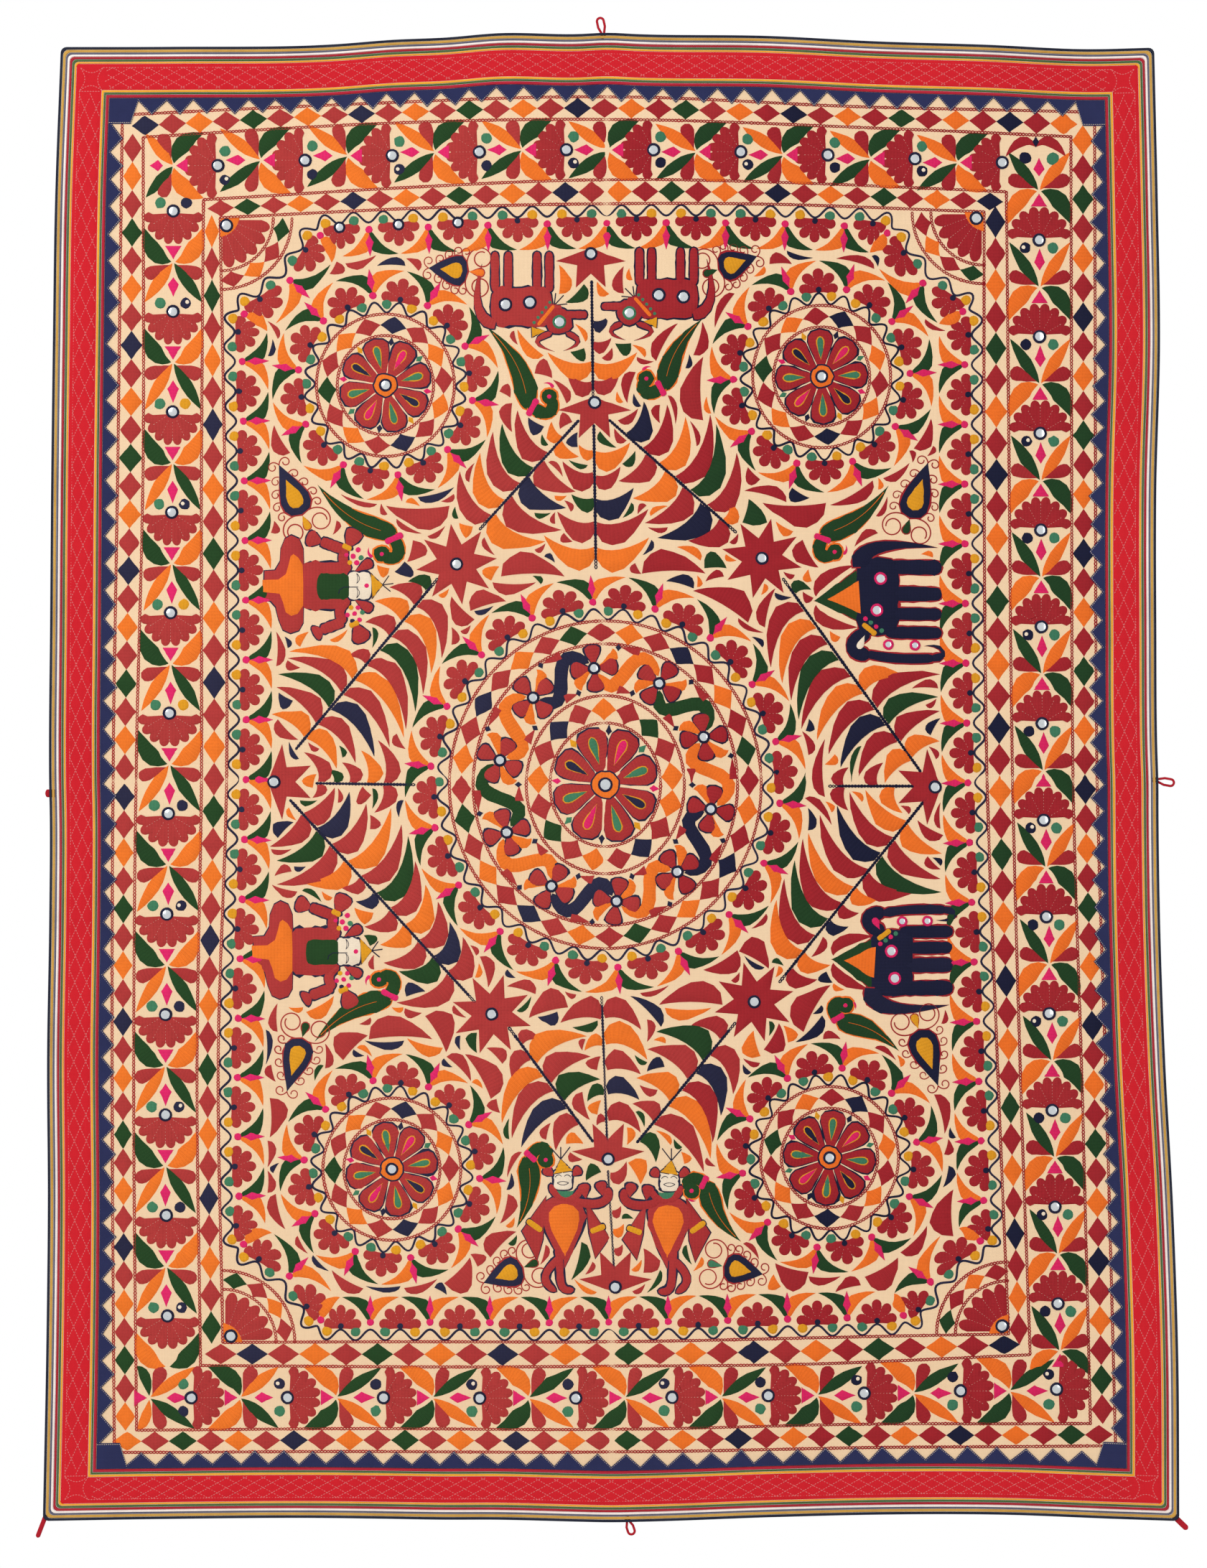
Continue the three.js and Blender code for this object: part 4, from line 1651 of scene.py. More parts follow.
@dataclass
class Medallion:
    """A round rosette in chain stitch circles, with diamonds between pairs of them and arches outside."""

    middle: Spot
    circles: tuple[Spot, ...]
    diamonds: tuple[int, ...]
    arches: int
    turn: float = 0.0

    petals: int = 8
    clear: float = 1.6
    drawn_radius: float = 80
    # shares of the innermost circle's radius: petals, their insets and the diamonds between them
    petal_run: Spot = (0.17, 0.95)
    inset_run: Spot = (0.36, 0.8)
    gap_run: Spot = (0.8, 0.98)
    cycle: tuple[Thread, ...] = (ORANGE, MAROON, NAVY, MAROON, ORANGE, MAROON, GREEN, MAROON)
    insets: tuple[Thread, ...] = (NAVY, SEA_GREEN, PINK, SEA_GREEN)
    between: tuple[Thread, ...] = (PINK, GOLD, NAVY, SEA_GREEN)

    def run(self, angle: float, shares: Spot) -> list[Array]:
        """Places at an angle and at shares of the innermost circle's radii."""
        return [np.array(self.middle) + polar(angle, share) * np.array(self.circles[0]) for share in shares]

    def stitch(self, work: Embroidery) -> None:
        """Lays circles, diamonds and arches, then the rosette.

        Args:
            work: Takes the shapes.
        """
        for radii in self.circles:
            ring = ellipse(self.middle, radii, 120)
            work.chain("maroon_chain_rings", MAROON, np.concatenate([ring, ring[:1]]))
        for pair, count in enumerate(self.diamonds):
            self.diamond_ring(work, 2 * pair, count)
        outer = ellipse(self.middle, self.circles[-1], 240, backwards=True)
        ArchRow(ClosedPath(outer, self.arches), self.turn / 360 * self.arches).stitch(work)
        self.rosette(work)

    def diamond_ring(self, work: Embroidery, inner: int, count: int) -> None:
        """Diamonds between two circles, each bent along its arc.

        Args:
            work: Takes the diamonds.
            inner: The number of the inner circle.
            count: How many diamonds there are.
        """
        low, high = np.array(self.circles[inner]), np.array(self.circles[inner + 1])
        mean, wide = (low + high) / 2, float((high - low).mean()) / 2 - self.clear
        for k in range(count):
            rim = circle(np.radians(self.turn + 360 * (k + np.array([0, 0.5, 1])) / count)) * mean
            bend = 2 * rim[1] - (rim[0] + rim[2]) / 2
            spine = np.array(self.middle) + np.stack([rim[0], bend, rim[2]])
            work.blade(self.cycle[k % len(self.cycle)], DIAMOND, spine, wide)

    def rosette(self, work: Embroidery) -> None:
        """Eight outlined petals with inset drops about a ringed mirror, small diamonds between them.

        Args:
            work: Takes the shapes.
        """
        size = float(np.mean(self.circles[0])) / self.drawn_radius
        for k in range(self.petals):
            angle = 22.5 + 45 * k + self.turn
            work.blade(MAROON, PETAL, self.run(angle, self.petal_run), 27.2 * size, rim=NAVY, width=2.4)
            work.blade(self.insets[k % 4], DROP, self.run(angle, self.inset_run), 6.4 * size,
                       lift=work.over_lift + 0.2, rim=GOLD, width=1.3)
            work.blade(self.between[k % 4], KITE, self.run(45 * k + self.turn, self.gap_run), 5.0 * size)
        work.dot(ORANGE, self.middle, 19 * size, 0.5, NAVY, 20)
        work.mirror(self.middle, 7.2 * size + 0.4, work.over_lift + 0.3)


@dataclass
class VineRing:
    """Four-petalled flowers with mirrors, joined by thick scrolls, between two circles."""

    middle: Spot = (843, 1093)
    radii: Spot = (150, 163)
    start: float = -96.0

    scrolls: tuple[Thread, ...] = (ORANGE, GREEN, ORANGE, NAVY, ORANGE, NAVY, ORANGE, GREEN, ORANGE, NAVY)
    # place counted in flowers and distance outwards of each point
    scroll_spine: tuple[Spot, ...] = ((0.06, -8), (0.56, -70), (0.44, 70), (0.94, 8))
    leaf_spine: tuple[Spot, ...] = ((0.04, 2), (0.34, 10), (0.26, 27))
    speck_spine: tuple[Spot, ...] = ((0.33, 24), (0.33, 34))
    wedge_spine: tuple[Spot, ...] = ((0.6, 28), (0.35, 30))
    petal_run: Spot = (4, 33)

    def turn(self, place: float) -> float:
        """The angle of a place counted in flowers."""
        return self.start + 360 * place / len(self.scrolls)

    def spots(self, k: int, rows: Sequence[Spot], c: int = 1) -> list[Array]:
        """Places seen from one flower.

        Args:
            k: The flower's number.
            rows: How far on each place is, counted in flowers, and how far outwards.
            c: 1, or -1 to go back and inwards instead.

        Returns:
            Draft places.
        """
        radii = np.array(self.radii)
        return [np.array(self.middle) + polar(self.turn(k + c * place), 1.0) * (radii + c * out)
                for place, out in rows]

    def stitch(self, work: Embroidery) -> None:
        """Scrolls first, then the leaves, specks and wedges that fill beside them, then the flowers on top.

        Args:
            work: Takes the shapes.
        """
        for k, thread in enumerate(self.scrolls):
            work.blade(thread, BAND, self.spots(k, self.scroll_spine), 9.6)
            for c in (-1, 1):
                work.blade(ORANGE, LENS, self.spots(k, self.leaf_spine, c), 8.0)
                work.blade(NAVY, DIAMOND, self.spots(k, self.speck_spine, c), 4.2, lift=0.3)
                work.blade(MAROON, TRIANGLE, self.spots(k, self.wedge_spine, c), 7.6)
        for k in range(len(self.scrolls)):
            middle = self.spots(k, [(0, 0)])[0]
            for q in range(4):
                way = polar(self.turn(k) + 8 * (k % 3) + 90 * q, 1.0)
                ends = [middle + way * reach for reach in self.petal_run]
                work.blade(MAROON, DROP, ends, 12.2, lift=0.35, rim=NAVY)
            work.mirror(middle, 6.0, 0.8)


@dataclass
class CornerFan:
    """A quarter fan in a corner of the innermost line, with two chain arcs and diamonds between them."""

    corner: Spot
    along: Spot

    lobes: int = 5
    lobe_turns: Spot = (3, 87)
    lobe_reach: Spot = (58, 13)
    seams: tuple[float, ...] = (20, 37, 53, 70)
    seam_reach: Spot = (24, 60)
    ring_radius: float = 27
    arcs: Spot = (74.0, 100.0)
    clear: float = 1.2
    cycle: tuple[Thread, ...] = (GREEN, MAROON, ORANGE, MAROON)
    # place in its share of the arc and share of the mean radius, for each point of a diamond's spine
    diamond_spine: tuple[Spot, ...] = ((0, 1), (0.5, 1.02), (1, 1))

    def stitch(self, work: Embroidery) -> None:
        """Fan petals as lobes of a quarter disc, an orange quarter ring, a mirror, arcs and diamonds.

        Args:
            work: Takes the shapes.
        """
        place = Place(self.corner, self.along)
        first, last = self.lobe_turns
        turn = np.linspace(first, last, 42)
        lobe = np.abs(np.sin(np.radians((turn - first) / (last - first) * 180 * self.lobes))) ** 0.6
        rim = [polar(t, r) for t, r in zip(turn, self.lobe_reach[0] + self.lobe_reach[1] * lobe)]
        work.patch(MAROON, place.all([*rim, (3, 18), (3, 3), (18, 3)]), place.at(24, 24))
        for angle in self.seams:
            work.seam(place.all([polar(angle, reach) for reach in self.seam_reach]))
        ring = [polar(angle, self.ring_radius) for angle in np.linspace(0, 90, 16)]
        work.patch(ORANGE, place.all([*ring, (1, 8), (1, 1), (8, 1)]), place.at(8, 8), 0.3)
        work.mirror(place.at(9, 11), 6.9, 0.7)
        for radius in self.arcs:
            arc = place.all([polar(angle, radius) for angle in np.linspace(0, 90, 30)])
            work.chain("maroon_chain_rings", MAROON, arc)
        mean, wide = sum(self.arcs) / 2, (self.arcs[1] - self.arcs[0]) / 2 - self.clear
        for k, thread in enumerate(self.cycle):
            spine = [polar(22.5 * (k + shift), mean * bulge) for shift, bulge in self.diamond_spine]
            work.blade(thread, DIAMOND, place.all(spine), wide)


@dataclass
class Star:
    """A pointed maroon star about a mirror, whole or only the half that faces one way."""

    middle: Spot
    radius: float = 57.0
    facing: float | None = None
    turn: float = 0.0

    points: int = 8
    waist: float = 0.5
    # turn from the way it faces and share of the radius, for each corner of a half star
    half_corners: tuple[Spot, ...] = (
        (-100, 0.3), (-78, 1), (-50, 0.5), (-24, 1.04), (0, 0.56), (24, 1.04), (50, 0.5), (78, 1),
        (100, 0.3), (140, 0.16), (180, 0.14), (220, 0.16))
    leaf_cycle: tuple[Thread, ...] = (MAROON, ORANGE, MAROON, NAVY, MAROON, ORANGE, MAROON, GREEN)
    leaf_reach = np.linspace(72, 22, 18)
    leaf_foot: float = 7
    # how far, in degrees, a leaf's foot lies back and its tip forward, and how far it bends aside
    leaf_turns: Spot = (-2, 16)
    leaf_bend: float = 0.12
    # the inner half width, and the outer one as a share of the length and a bit more
    leaf_inner: float = 0.5
    leaf_plump: Spot = (0.2, 7)
    leaf_foot_share: float = 0.1

    def edge(self) -> Array:
        """The outline: straight lines between corners that step from the points to the waist and back.

        Returns:
            Draft points, four for each corner.
        """
        count = 2 * self.points
        whole = [(k * 180.0 / self.points + self.turn, self.waist if k % 2 else 1.0) for k in range(count)]
        half = [((self.facing or 0) + turn, share) for turn, share in self.half_corners]
        rows = whole if self.facing is None else half
        corners = np.stack([polar(turn, share * self.radius) for turn, share in rows])
        fine = np.linspace(0, len(rows), 4 * len(rows), endpoint=False)
        loop = np.concatenate([corners, corners[:1]])
        return np.array(self.middle) + between(fine, np.arange(len(loop)), loop)

    def stitch(self, work: Embroidery) -> None:
        """The filled star and its mirror.

        Args:
            work: Takes the shapes.
        """
        shift = polar(self.facing, 0.3 * self.radius) if self.facing is not None else np.zeros(2)
        work.patch(MAROON, self.edge(), np.array(self.middle) + shift)
        work.mirror(self.middle, 6.6, 0.5)

    def leaves(self, work: Embroidery) -> None:
        """Curved leaves that spring from the notches of a whole star, as long as the space lets them be.

        Args:
            work: Takes the leaves.
        """
        if self.facing is not None:
            return
        back, ahead = self.leaf_turns
        share, more = self.leaf_plump
        for k, thread in enumerate(self.leaf_cycle):
            angle = self.turn + (k + 0.5) * 360 / self.points
            foot = np.array(self.middle) + polar(angle + back, self.waist * self.radius + self.leaf_foot)
            for reach in self.leaf_reach:
                tip = foot + polar(angle + ahead, reach)
                bend = (foot + tip) / 2 + turned(tip - foot) * self.leaf_bend
                widths = (self.leaf_inner, share * reach + more)
                made = work.leaf(thread, [foot, bend, tip], *widths, self.leaf_foot_share)
                if made:
                    work.space.mark(made.cover())
                    break


@dataclass(frozen=True)
class LeafRow:
    """Leaves down one side of a stem.

    count is how many there are, reach their lengths at even steps along the stem, lean how far the first and
    the last bend back towards the root, in degrees, and first the share of the stem where they begin.
    """

    count: int
    reach: tuple[float, float, float, float]
    lean: Spot = (12, 12)
    first: float = 0.0


@dataclass
class Stem:
    """A chain stitch stem with full curved leaves down both sides."""

    root: Spot
    tip: Spot
    right: LeafRow
    left: LeafRow
    start: int = 0

    cycle: tuple[Thread, ...] = (MAROON, ORANGE, MAROON, GREEN, MAROON, ORANGE, MAROON, NAVY)
    line_half: float = 1.7
    foot_out: float = 2.4
    # shares of a leaf's full length, and turns of its tip, that are tried in order
    tries = np.linspace(1.12, 0.3, 22)
    swings: tuple[float, ...] = (0.0, -0.14, 0.14)
    inner_half: float = 0.5
    # how uneven a leaf's place and length are
    uneven: Spot = (0.04, 0.05)
    # the outer half width is the lesser of a share of the step, and a share of the length and a bit more
    fullest: float = 0.91
    plump: Spot = (0.42, 7)
    # shares of the length by which the leaf bends away from the stem and along it
    bends: Spot = (0.38, 0.17)
    foot_share: float = 0.16

    def lay(self, work: Embroidery) -> None:
        """Lays the stem's own line: a row of chain stitches over a plain one.

        Args:
            work: Takes the stitches.
        """
        ends = np.array([self.root, self.tip], float)
        work.chain("navy_chain_stems", NAVY, ends)
        work.cord(NAVY, paced(ends, 12.0, 0.0)[0], self.line_half)

    def stitch(self, work: Embroidery) -> None:
        """Lays the leaves of both sides, one row after the other.

        Args:
            work: Takes the leaves.
        """
        for side, row in ((1, self.right), (-1, self.left)):
            made = [self.leaf(work, side, row, k) for k in range(row.count)]
            for leaf in filter(None, made):
                work.space.mark(leaf.cover())

    def leaf(self, work: Embroidery, side: int, row: LeafRow, k: int) -> Blade | None:
        """One leaf: from the stem it swells on the side away from the root and bends back to its tip.

        It is made shorter in steps until it touches nothing that is stitched already.

        Args:
            work: Takes the leaf.
            side: 1 for the right hand of the stem, -1 for the left.
            row: The leaves that it is one of.
            k: Its number in the row.

        Returns:
            The leaf, or None where there is no room.
        """
        root, tip = np.array(self.root, float), np.array(self.tip, float)
        way, length = unit(tip - root), float(np.linalg.norm(tip - root))
        aside = turned(way) * side
        pitch = length * (1 - row.first) / row.count
        place, size = self.uneven
        share = row.first + (k + 0.1 + work.rng.normal(0, place)) * pitch / length
        full = float(Profile((0, 1 / 3, 2 / 3, 1), row.reach)(np.array(share))) * work.rng.normal(1, size)
        lean = math.radians(row.lean[0] + (row.lean[1] - row.lean[0]) * share)
        thread = self.cycle[(self.start + k + (4 if side < 0 else 0)) % len(self.cycle)]
        foot = root + way * length * share + aside * self.foot_out
        for reach in full * self.tries:
            outer = min(self.fullest * pitch, self.plump[0] * reach + self.plump[1])
            widths = (outer, self.inner_half)[::side]
            bend = foot + aside * reach * self.bends[0] + way * reach * self.bends[1]
            for swing in self.swings:
                end = foot + (aside * math.cos(lean + swing) - way * math.sin(lean + swing)) * reach
                made = work.leaf(thread, [foot, bend, end], *widths, self.foot_share)
                if made:
                    return made
        return None


# leaf rows that several stems share
SHORT_ROW = LeafRow(6, (26, 50, 68, 78), (-14, 18))
SIDE_ROW = LeafRow(5, (34, 58, 64, 66), (20, 6))
FOOT_ROW = LeafRow(6, (32, 34, 34, 30), (30, 30))
WEST_ROW = LeafRow(6, (38, 60, 66, 68), (18, 4))
INNER_ROW = LeafRow(11, (50, 84, 84, 60), (4, 14), 0.06)
OUTER_ROW = LeafRow(11, (40, 84, 92, 84), (4, 18), 0.06)
# root, tip, leaves on the right hand, leaves on the left hand, place in the colour cycle
STEMS = (
    Stem((806, 586), (668, 738), LeafRow(7, (36, 66, 74, 70)), SHORT_ROW, 0),
    Stem((848, 585), (1025, 742), LeafRow(7, (26, 50, 68, 78), (-14, 18)), LeafRow(8, (44, 70, 88, 84)), 2),
    Stem((827, 592), (830, 792), LeafRow(6, (28, 50, 64, 78), (24, 12)),
         LeafRow(6, (28, 50, 62, 74), (24, 8)), 0),
    Stem((824, 392), (826, 556), LeafRow(6, (40, 50, 56, 58), (8, 14)),
         LeafRow(6, (40, 50, 54, 58), (8, 14)), 1),
    Stem((1282, 1075), (1090, 806), INNER_ROW, OUTER_ROW, 1),
    Stem((1296, 1104), (1085, 1368), OUTER_ROW, INNER_ROW, 4),
    Stem((1272, 1095), (1154, 1095), SIDE_ROW, SIDE_ROW, 0),
    Stem((887, 1591), (1024, 1424), LeafRow(7, (78, 84, 78, 70)), SHORT_ROW, 3),
    Stem((826, 1590), (709, 1431), SHORT_ROW, LeafRow(7, (56, 76, 78, 70)), 1),
    Stem((846, 1600), (838, 1388), LeafRow(6, (28, 50, 64, 76), (24, 8)),
         LeafRow(6, (28, 50, 62, 74), (24, 8)), 5),
    Stem((847, 1630), (856, 1788), FOOT_ROW, FOOT_ROW, 2),
    Stem((404, 1114), (662, 1396), LeafRow(12, (50, 84, 84, 64), (4, 14), 0.06),
         LeafRow(12, (40, 84, 92, 84), (4, 18), 0.06), 2),
    Stem((412, 1044), (610, 806), OUTER_ROW, INNER_ROW, 5),
    Stem((440, 1091), (578, 1093), WEST_ROW, WEST_ROW, 6),
)


@dataclass
class LeafFill:
    """Small leaves over whatever is still bare inside the arches, the roomiest places first."""

    line: FrameLine
    # middle and radius of the round motifs, which are kept free
    rounds: tuple[tuple[Spot, float], ...]
    spots: dict[Thread, list[Array]] = field(default_factory=dict)

    inset: float = 52.0
    cell: float = 4.0
    room: float = 6.0
    gap: float = 1.0
    longest: float = 50.0
    shortest: float = 16.0
    fattest: float = 31.0
    inner_half: float = 0.5
    # how far a leaf's spine lies aside of its place, as a share of its width, and how far it bends back
    off_middle: float = 0.42
    bend: float = 0.1
    most: int = 600
    ways: int = 3
    turns = np.radians(np.arange(0, 180, 15))
    looks = np.arange(1, 12)
    # share of the free run and of the free width that a leaf takes, the largest first
    sizes: tuple[Spot, ...] = (
        (1, 1), (0.85, 1), (1, 0.75), (0.7, 1), (0.85, 0.75), (0.55, 1), (0.7, 0.75), (1, 0.5),
        (0.85, 0.5), (0.55, 0.75), (0.42, 1), (0.7, 0.5), (0.42, 0.75), (0.55, 0.5))
    # cells that are trimmed at most, and cells to each side of a new leaf that are looked at again
    trims: int = 10
    window: int = 34
    # how readily each colour is taken, and past which distance that no longer grows
    shares: tuple[tuple[Thread, float], ...] = ((MAROON, 1.7), (ORANGE, 1.1), (GREEN, 0.9), (NAVY, 0.8))
    far: float = 70.0

    def allowed(self, rows: int, cols: int) -> Array:
        """Marks the cells of the coarse map where leaves may lie.

        Args:
            rows: Rows of the map.
            cols: Columns of the map.

        Returns:
            True for each such cell.
        """
        y, x = (np.indices((rows, cols)) + 0.5) * self.cell
        low_x, high_x = (self.line.across(side, y) for side in (LEFT, RIGHT))
        low_y, high_y = (self.line.across(side, x) for side in (TOP, BOTTOM))
        inside = np.minimum(np.minimum(x - low_x, high_x - x), np.minimum(y - low_y, high_y - y)) > self.inset
        for (middle_x, middle_y), radius in self.rounds:
            inside &= np.hypot(x - middle_x, y - middle_y) > radius
        return inside

    def depth(self, bare: Array) -> Array:
        """How far each bare cell is from the next stitched one: how often it outlasts a trim of the edges.

        Args:
            bare: True for each bare cell.

        Returns:
            Distances, zero for stitched cells.
        """
        left, depth = bare, bare.astype(float)
        for k in range(self.trims):
            kept = left.copy()
            for here, there in ((np.s_[1:], np.s_[:-1]), (np.s_[:-1], np.s_[1:])):
                kept[here] &= left[there]
                kept[:, here] &= left[:, there]
                if k % 2:
                    kept[here, here] &= left[there, there]
                    kept[here, there] &= left[there, here]
            depth += kept
            left = kept
        return depth * self.cell

    def colour(self, work: Embroidery, middle: Array) -> Thread:
        """Chooses the colour whose nearest leaf is furthest away, weighed by how readily it is taken.

        Args:
            work: Gives the random draws.
            middle: Where the new leaf goes.

        Returns:
            The colour.
        """
        scores = {}
        for thread, share in self.shares:
            near = float(np.linalg.norm(np.array(self.spots[thread]) - middle, axis=1).min())
            scores[thread] = share * min(near, self.far) * work.rng.uniform(0.8, 1.2)
        return max(scores, key=scores.get)

    def stitch(self, work: Embroidery) -> None:
        """Lays leaves until no bare place is roomy enough.

        Args:
            work: Takes the leaves.
        """
        step = int(self.cell / work.space.cell)
        rows, cols = (size // step for size in Space.size)
        open_cells = self.allowed(rows, cols)
        self.spots = {thread: [b.control.mean(0) for b in work.blades[thread]] for thread, _ in self.shares}
        taken = work.space.taken[:rows * step, :cols * step].reshape(rows, step, cols, step)
        depth = self.depth(open_cells & ~taken.any((1, 3)))
        core = np.s_[self.trims:-self.trims, self.trims:-self.trims]
        for _ in range(self.most):
            row, col = np.unravel_index(np.argmax(depth), depth.shape)
            if depth[row, col] < self.room:
                return
            self.leaf(work, (np.array([col, row]) + 0.5) * self.cell, depth)
            open_cells[row - 1:row + 2, col - 1:col + 2] = False
            wide = np.s_[row - self.window:row + self.window, col - self.window:col + self.window]
            near = self.depth(open_cells[wide] & ~taken[wide[0], :, wide[1]].any((1, 3)))
            depth[wide][core] = near[core]

    def leaf(self, work: Embroidery, middle: Array, depth: Array) -> None:
        """One leaf along the longest free run through a place, made smaller in steps until it fits.

        Args:
            work: Takes the leaf.
            middle: The place.
            depth: How far each cell is from the next stitched one.
        """
        ways = circle(self.turns)
        both = np.stack([ways, -ways], 1)
        cells = ((middle + both[:, :, None] * (self.looks * self.cell)[:, None]) / self.cell).astype(int)
        rows, cols = (np.clip(cells[..., k], 0, depth.shape[1 - k] - 1) for k in (1, 0))
        free = np.logical_and.accumulate(depth[rows, cols] > 0, -1)
        runs = np.minimum(free.sum(-1) * self.cell, self.longest)
        best = np.argsort(-runs.sum(1))[:self.ways]
        flip = int(work.rng.integers(0, 2))
        hand = int(work.rng.choice([-1, 1]))
        col, row = (middle / self.cell).astype(int)
        room = min(2 * float(depth[row, col]) - self.gap, self.fattest)
        thread = self.colour(work, middle)
        for share, plump in self.sizes:
            for turn in best:
                way, (ahead, behind) = both[turn, flip], runs[turn, ::-1] if flip else runs[turn]
                if (ahead + behind) * share < self.shortest:
                    continue
                for c in (hand, -hand):
                    aside = turned(way) * c * room * plump
                    foot = middle - way * behind * share - aside * self.off_middle
                    tip = middle + way * ahead * share - aside * self.off_middle
                    bend = (foot + tip) / 2 + turned(tip - foot) * c * self.bend
                    made = work.leaf(thread, [foot, bend, tip], *(self.inner_half, room * plump)[::c], 0.0)
                    if made:
                        work.space.mark(made.cover())
                        self.spots[thread].append(made.control.mean(0))
                        return


STARS = (
    Star((636, 786), turn=-8), Star((1061, 778), turn=13), Star((685, 1412), turn=17),
    Star((1050, 1395), turn=-15),
    Star((828, 561), 52, 90), Star((1302, 1096), 54, 180), Star((847, 1614), 52, 270),
    Star((382, 1089), 54, 0), Star((823, 354), 50, 90), Star((857, 1792), 52, 270),
)
SMALL_CIRCLES = ((67, 69), (96, 99))
MEDALLIONS = (
    Medallion((843, 1093), ((77, 86), (110, 124), (184, 196), (217, 228)), (17, 32), 18, 4),
    Medallion((537, 537), SMALL_CIRCLES, (14,), 10, 8),
    Medallion((1144, 525), SMALL_CIRCLES, (14,), 10, 20),
    Medallion((546, 1628), SMALL_CIRCLES, (14,), 10, 12),
    Medallion((1155, 1612), SMALL_CIRCLES, (14,), 10, 28),
)


def curl(start: Array, heading: float, length: float, turn: float, steps: int = 18) -> Array:
    """A line that winds up as it goes: its heading turns faster towards the end.

    Args:
        start: Where it starts.
        heading: Its first heading, in degrees.
        length: Its length.
        turn: How far it turns in all, in degrees.
        steps: How many short legs it has.

    Returns:
        Draft points.
    """
    share = (np.arange(steps) + 0.5) / steps
    legs = circle(np.radians(heading + turn * share**1.5)) * length / steps
    return start + np.concatenate([np.zeros((1, 2)), np.cumsum(legs, 0)])


@dataclass
class Paisley:
    """A navy drop with a gold inset, a small drop at its foot and curls all round."""

    tip: Spot
    foot: Spot
    bead: Thread

    half: float = 21.5
    inset_run: Spot = (0.3, 0.86)
    curl_shares: tuple[float, ...] = (0.2, 0.42, 0.64, 0.84)

    def stitch(self, work: Embroidery) -> None:
        """Drops first, then the curls that leave its two sides, its tip and its foot.

        Args:
            work: Takes the shapes.
        """
        tip, foot = np.array(self.tip, float), np.array(self.foot, float)
        way = unit(tip - foot)
        heading = math.degrees(math.atan2(way[1], way[0]))
        work.blade(NAVY, DROP, [tip, foot], self.half, rim=MAROON)
        inset = [tip + (foot - tip) * share for share in self.inset_run]
        work.blade(GOLD, DROP, inset, 0.56 * self.half, lift=work.over_lift)
        work.blade(self.bead, DROP, [foot - way * 2, foot - way * 23], 6.2, rim=MAROON, width=1.2)
        for c in (-1, 1):
            for share in self.curl_shares:
                wide = self.half * float(DROP.share(np.array(share)))
                root = tip + (foot - tip) * share + turned(way) * c * wide
                work.cord(MAROON, curl(root, heading + 62 * c, 30, 330 * c))
            work.cord(MAROON, curl(tip, heading + 28 * c, 38, 360 * c))
            spiral = curl(foot, heading + 72 * c, 122, 490 * c, 40)
            work.cord(MAROON, spiral, 1.0)
            work.space.keep_clear(spiral[-1], 10.0)


@dataclass
class Figure:
    """A creature made of stitched shapes, most of them outlined in one colour."""

    place: Place

    rim = NAVY

    def limbs(self, work: Embroidery, *rows: tuple[Thread, Outline, Any, float, float, float]) -> None:
        """Lays shapes in order.

        Args:
            work: Takes the shapes.
            rows: Colour, outline, spine, half width, height and the rim's width, which is 0 for no rim.
        """
        for thread, outline, spine, half, lift, width in rows:
            rim = self.rim if width else None
            work.blade(thread, outline, self.place.all(spine), half, lift=lift, rim=rim, width=width)

    def lines(self, work: Embroidery, start: Spot, ends: Iterable[Spot]) -> None:
        """Thin lines from one place to others."""
        for end in ends:
            work.cord(NAVY, self.place.all([start, end]))


@dataclass
class Beast(Figure):
    """A maroon horned beast seen from the side, its legs away from the drawing's middle."""

    legs: tuple[float, ...] = (-36.5, -18.0, 22.0, 39.0)
    cleared: tuple[Spot, ...] = ((2, -42), (2, -62), (53, 49))

    def stitch(self, work: Embroidery) -> None:
        """Legs, body and tail, then the head with its collar, snout and horns.

        Args:
            work: Takes the shapes.
        """
        at = self.place.at
        self.limbs(
            work, *((MAROON, BAND, [(x, -20), (x, -77)], 6.4, 0, RIM) for x in self.legs),
            (MAROON, BAND, [(-43, 0), (44, 0)], 28, 0.1, RIM),
            (MAROON, LEAF, [(-36, 25), (-74, 18), (-55, -58)], 9, 0.3, RIM),
            (MAROON, BAND, [(30, 8), (56, 14)], 15, 0.15, 0),
            (MAROON, BAND, [(58, 11), (92, 11)], 6, 0.2, RIM),
            (MAROON, HORN, [(44, 36), (0, 49), (45, 62)], 5.6, 0.2, RIM),
            (MAROON, HORN, [(62, 36), (97, 49), (60, 61)], 5.6, 0.2, RIM))
        work.dot(MAROON, at(53, 20), 19, 0.3, self.rim, 16)
        self.limbs(work, (GOLD, TRIANGLE, [(15, 35), (33, 34)], 8, 0.3, 1.2),
                   (ORANGE, BAND, [(23, 26), (46, -2)], 3.4, 0.5, 0))
        for share in np.linspace(0, 1, 5):
            work.dot(SEA_GREEN, at(18 + 22 * share, 22 - 28 * share), 2.6, 0.4, sides=8)
        self.lines(work, (46, -2), ((48, -19), (59, -16), (64, -4)))
        for x, y in ((-22, -3), (12, -6)):
            work.mirror(at(x, y), 7.0, 0.6)
        work.mirror(at(53, 21), 7.0, 0.8, SEA_GREEN)
        for x, y in self.cleared:
            work.space.keep_clear(at(x, y), 13.0)


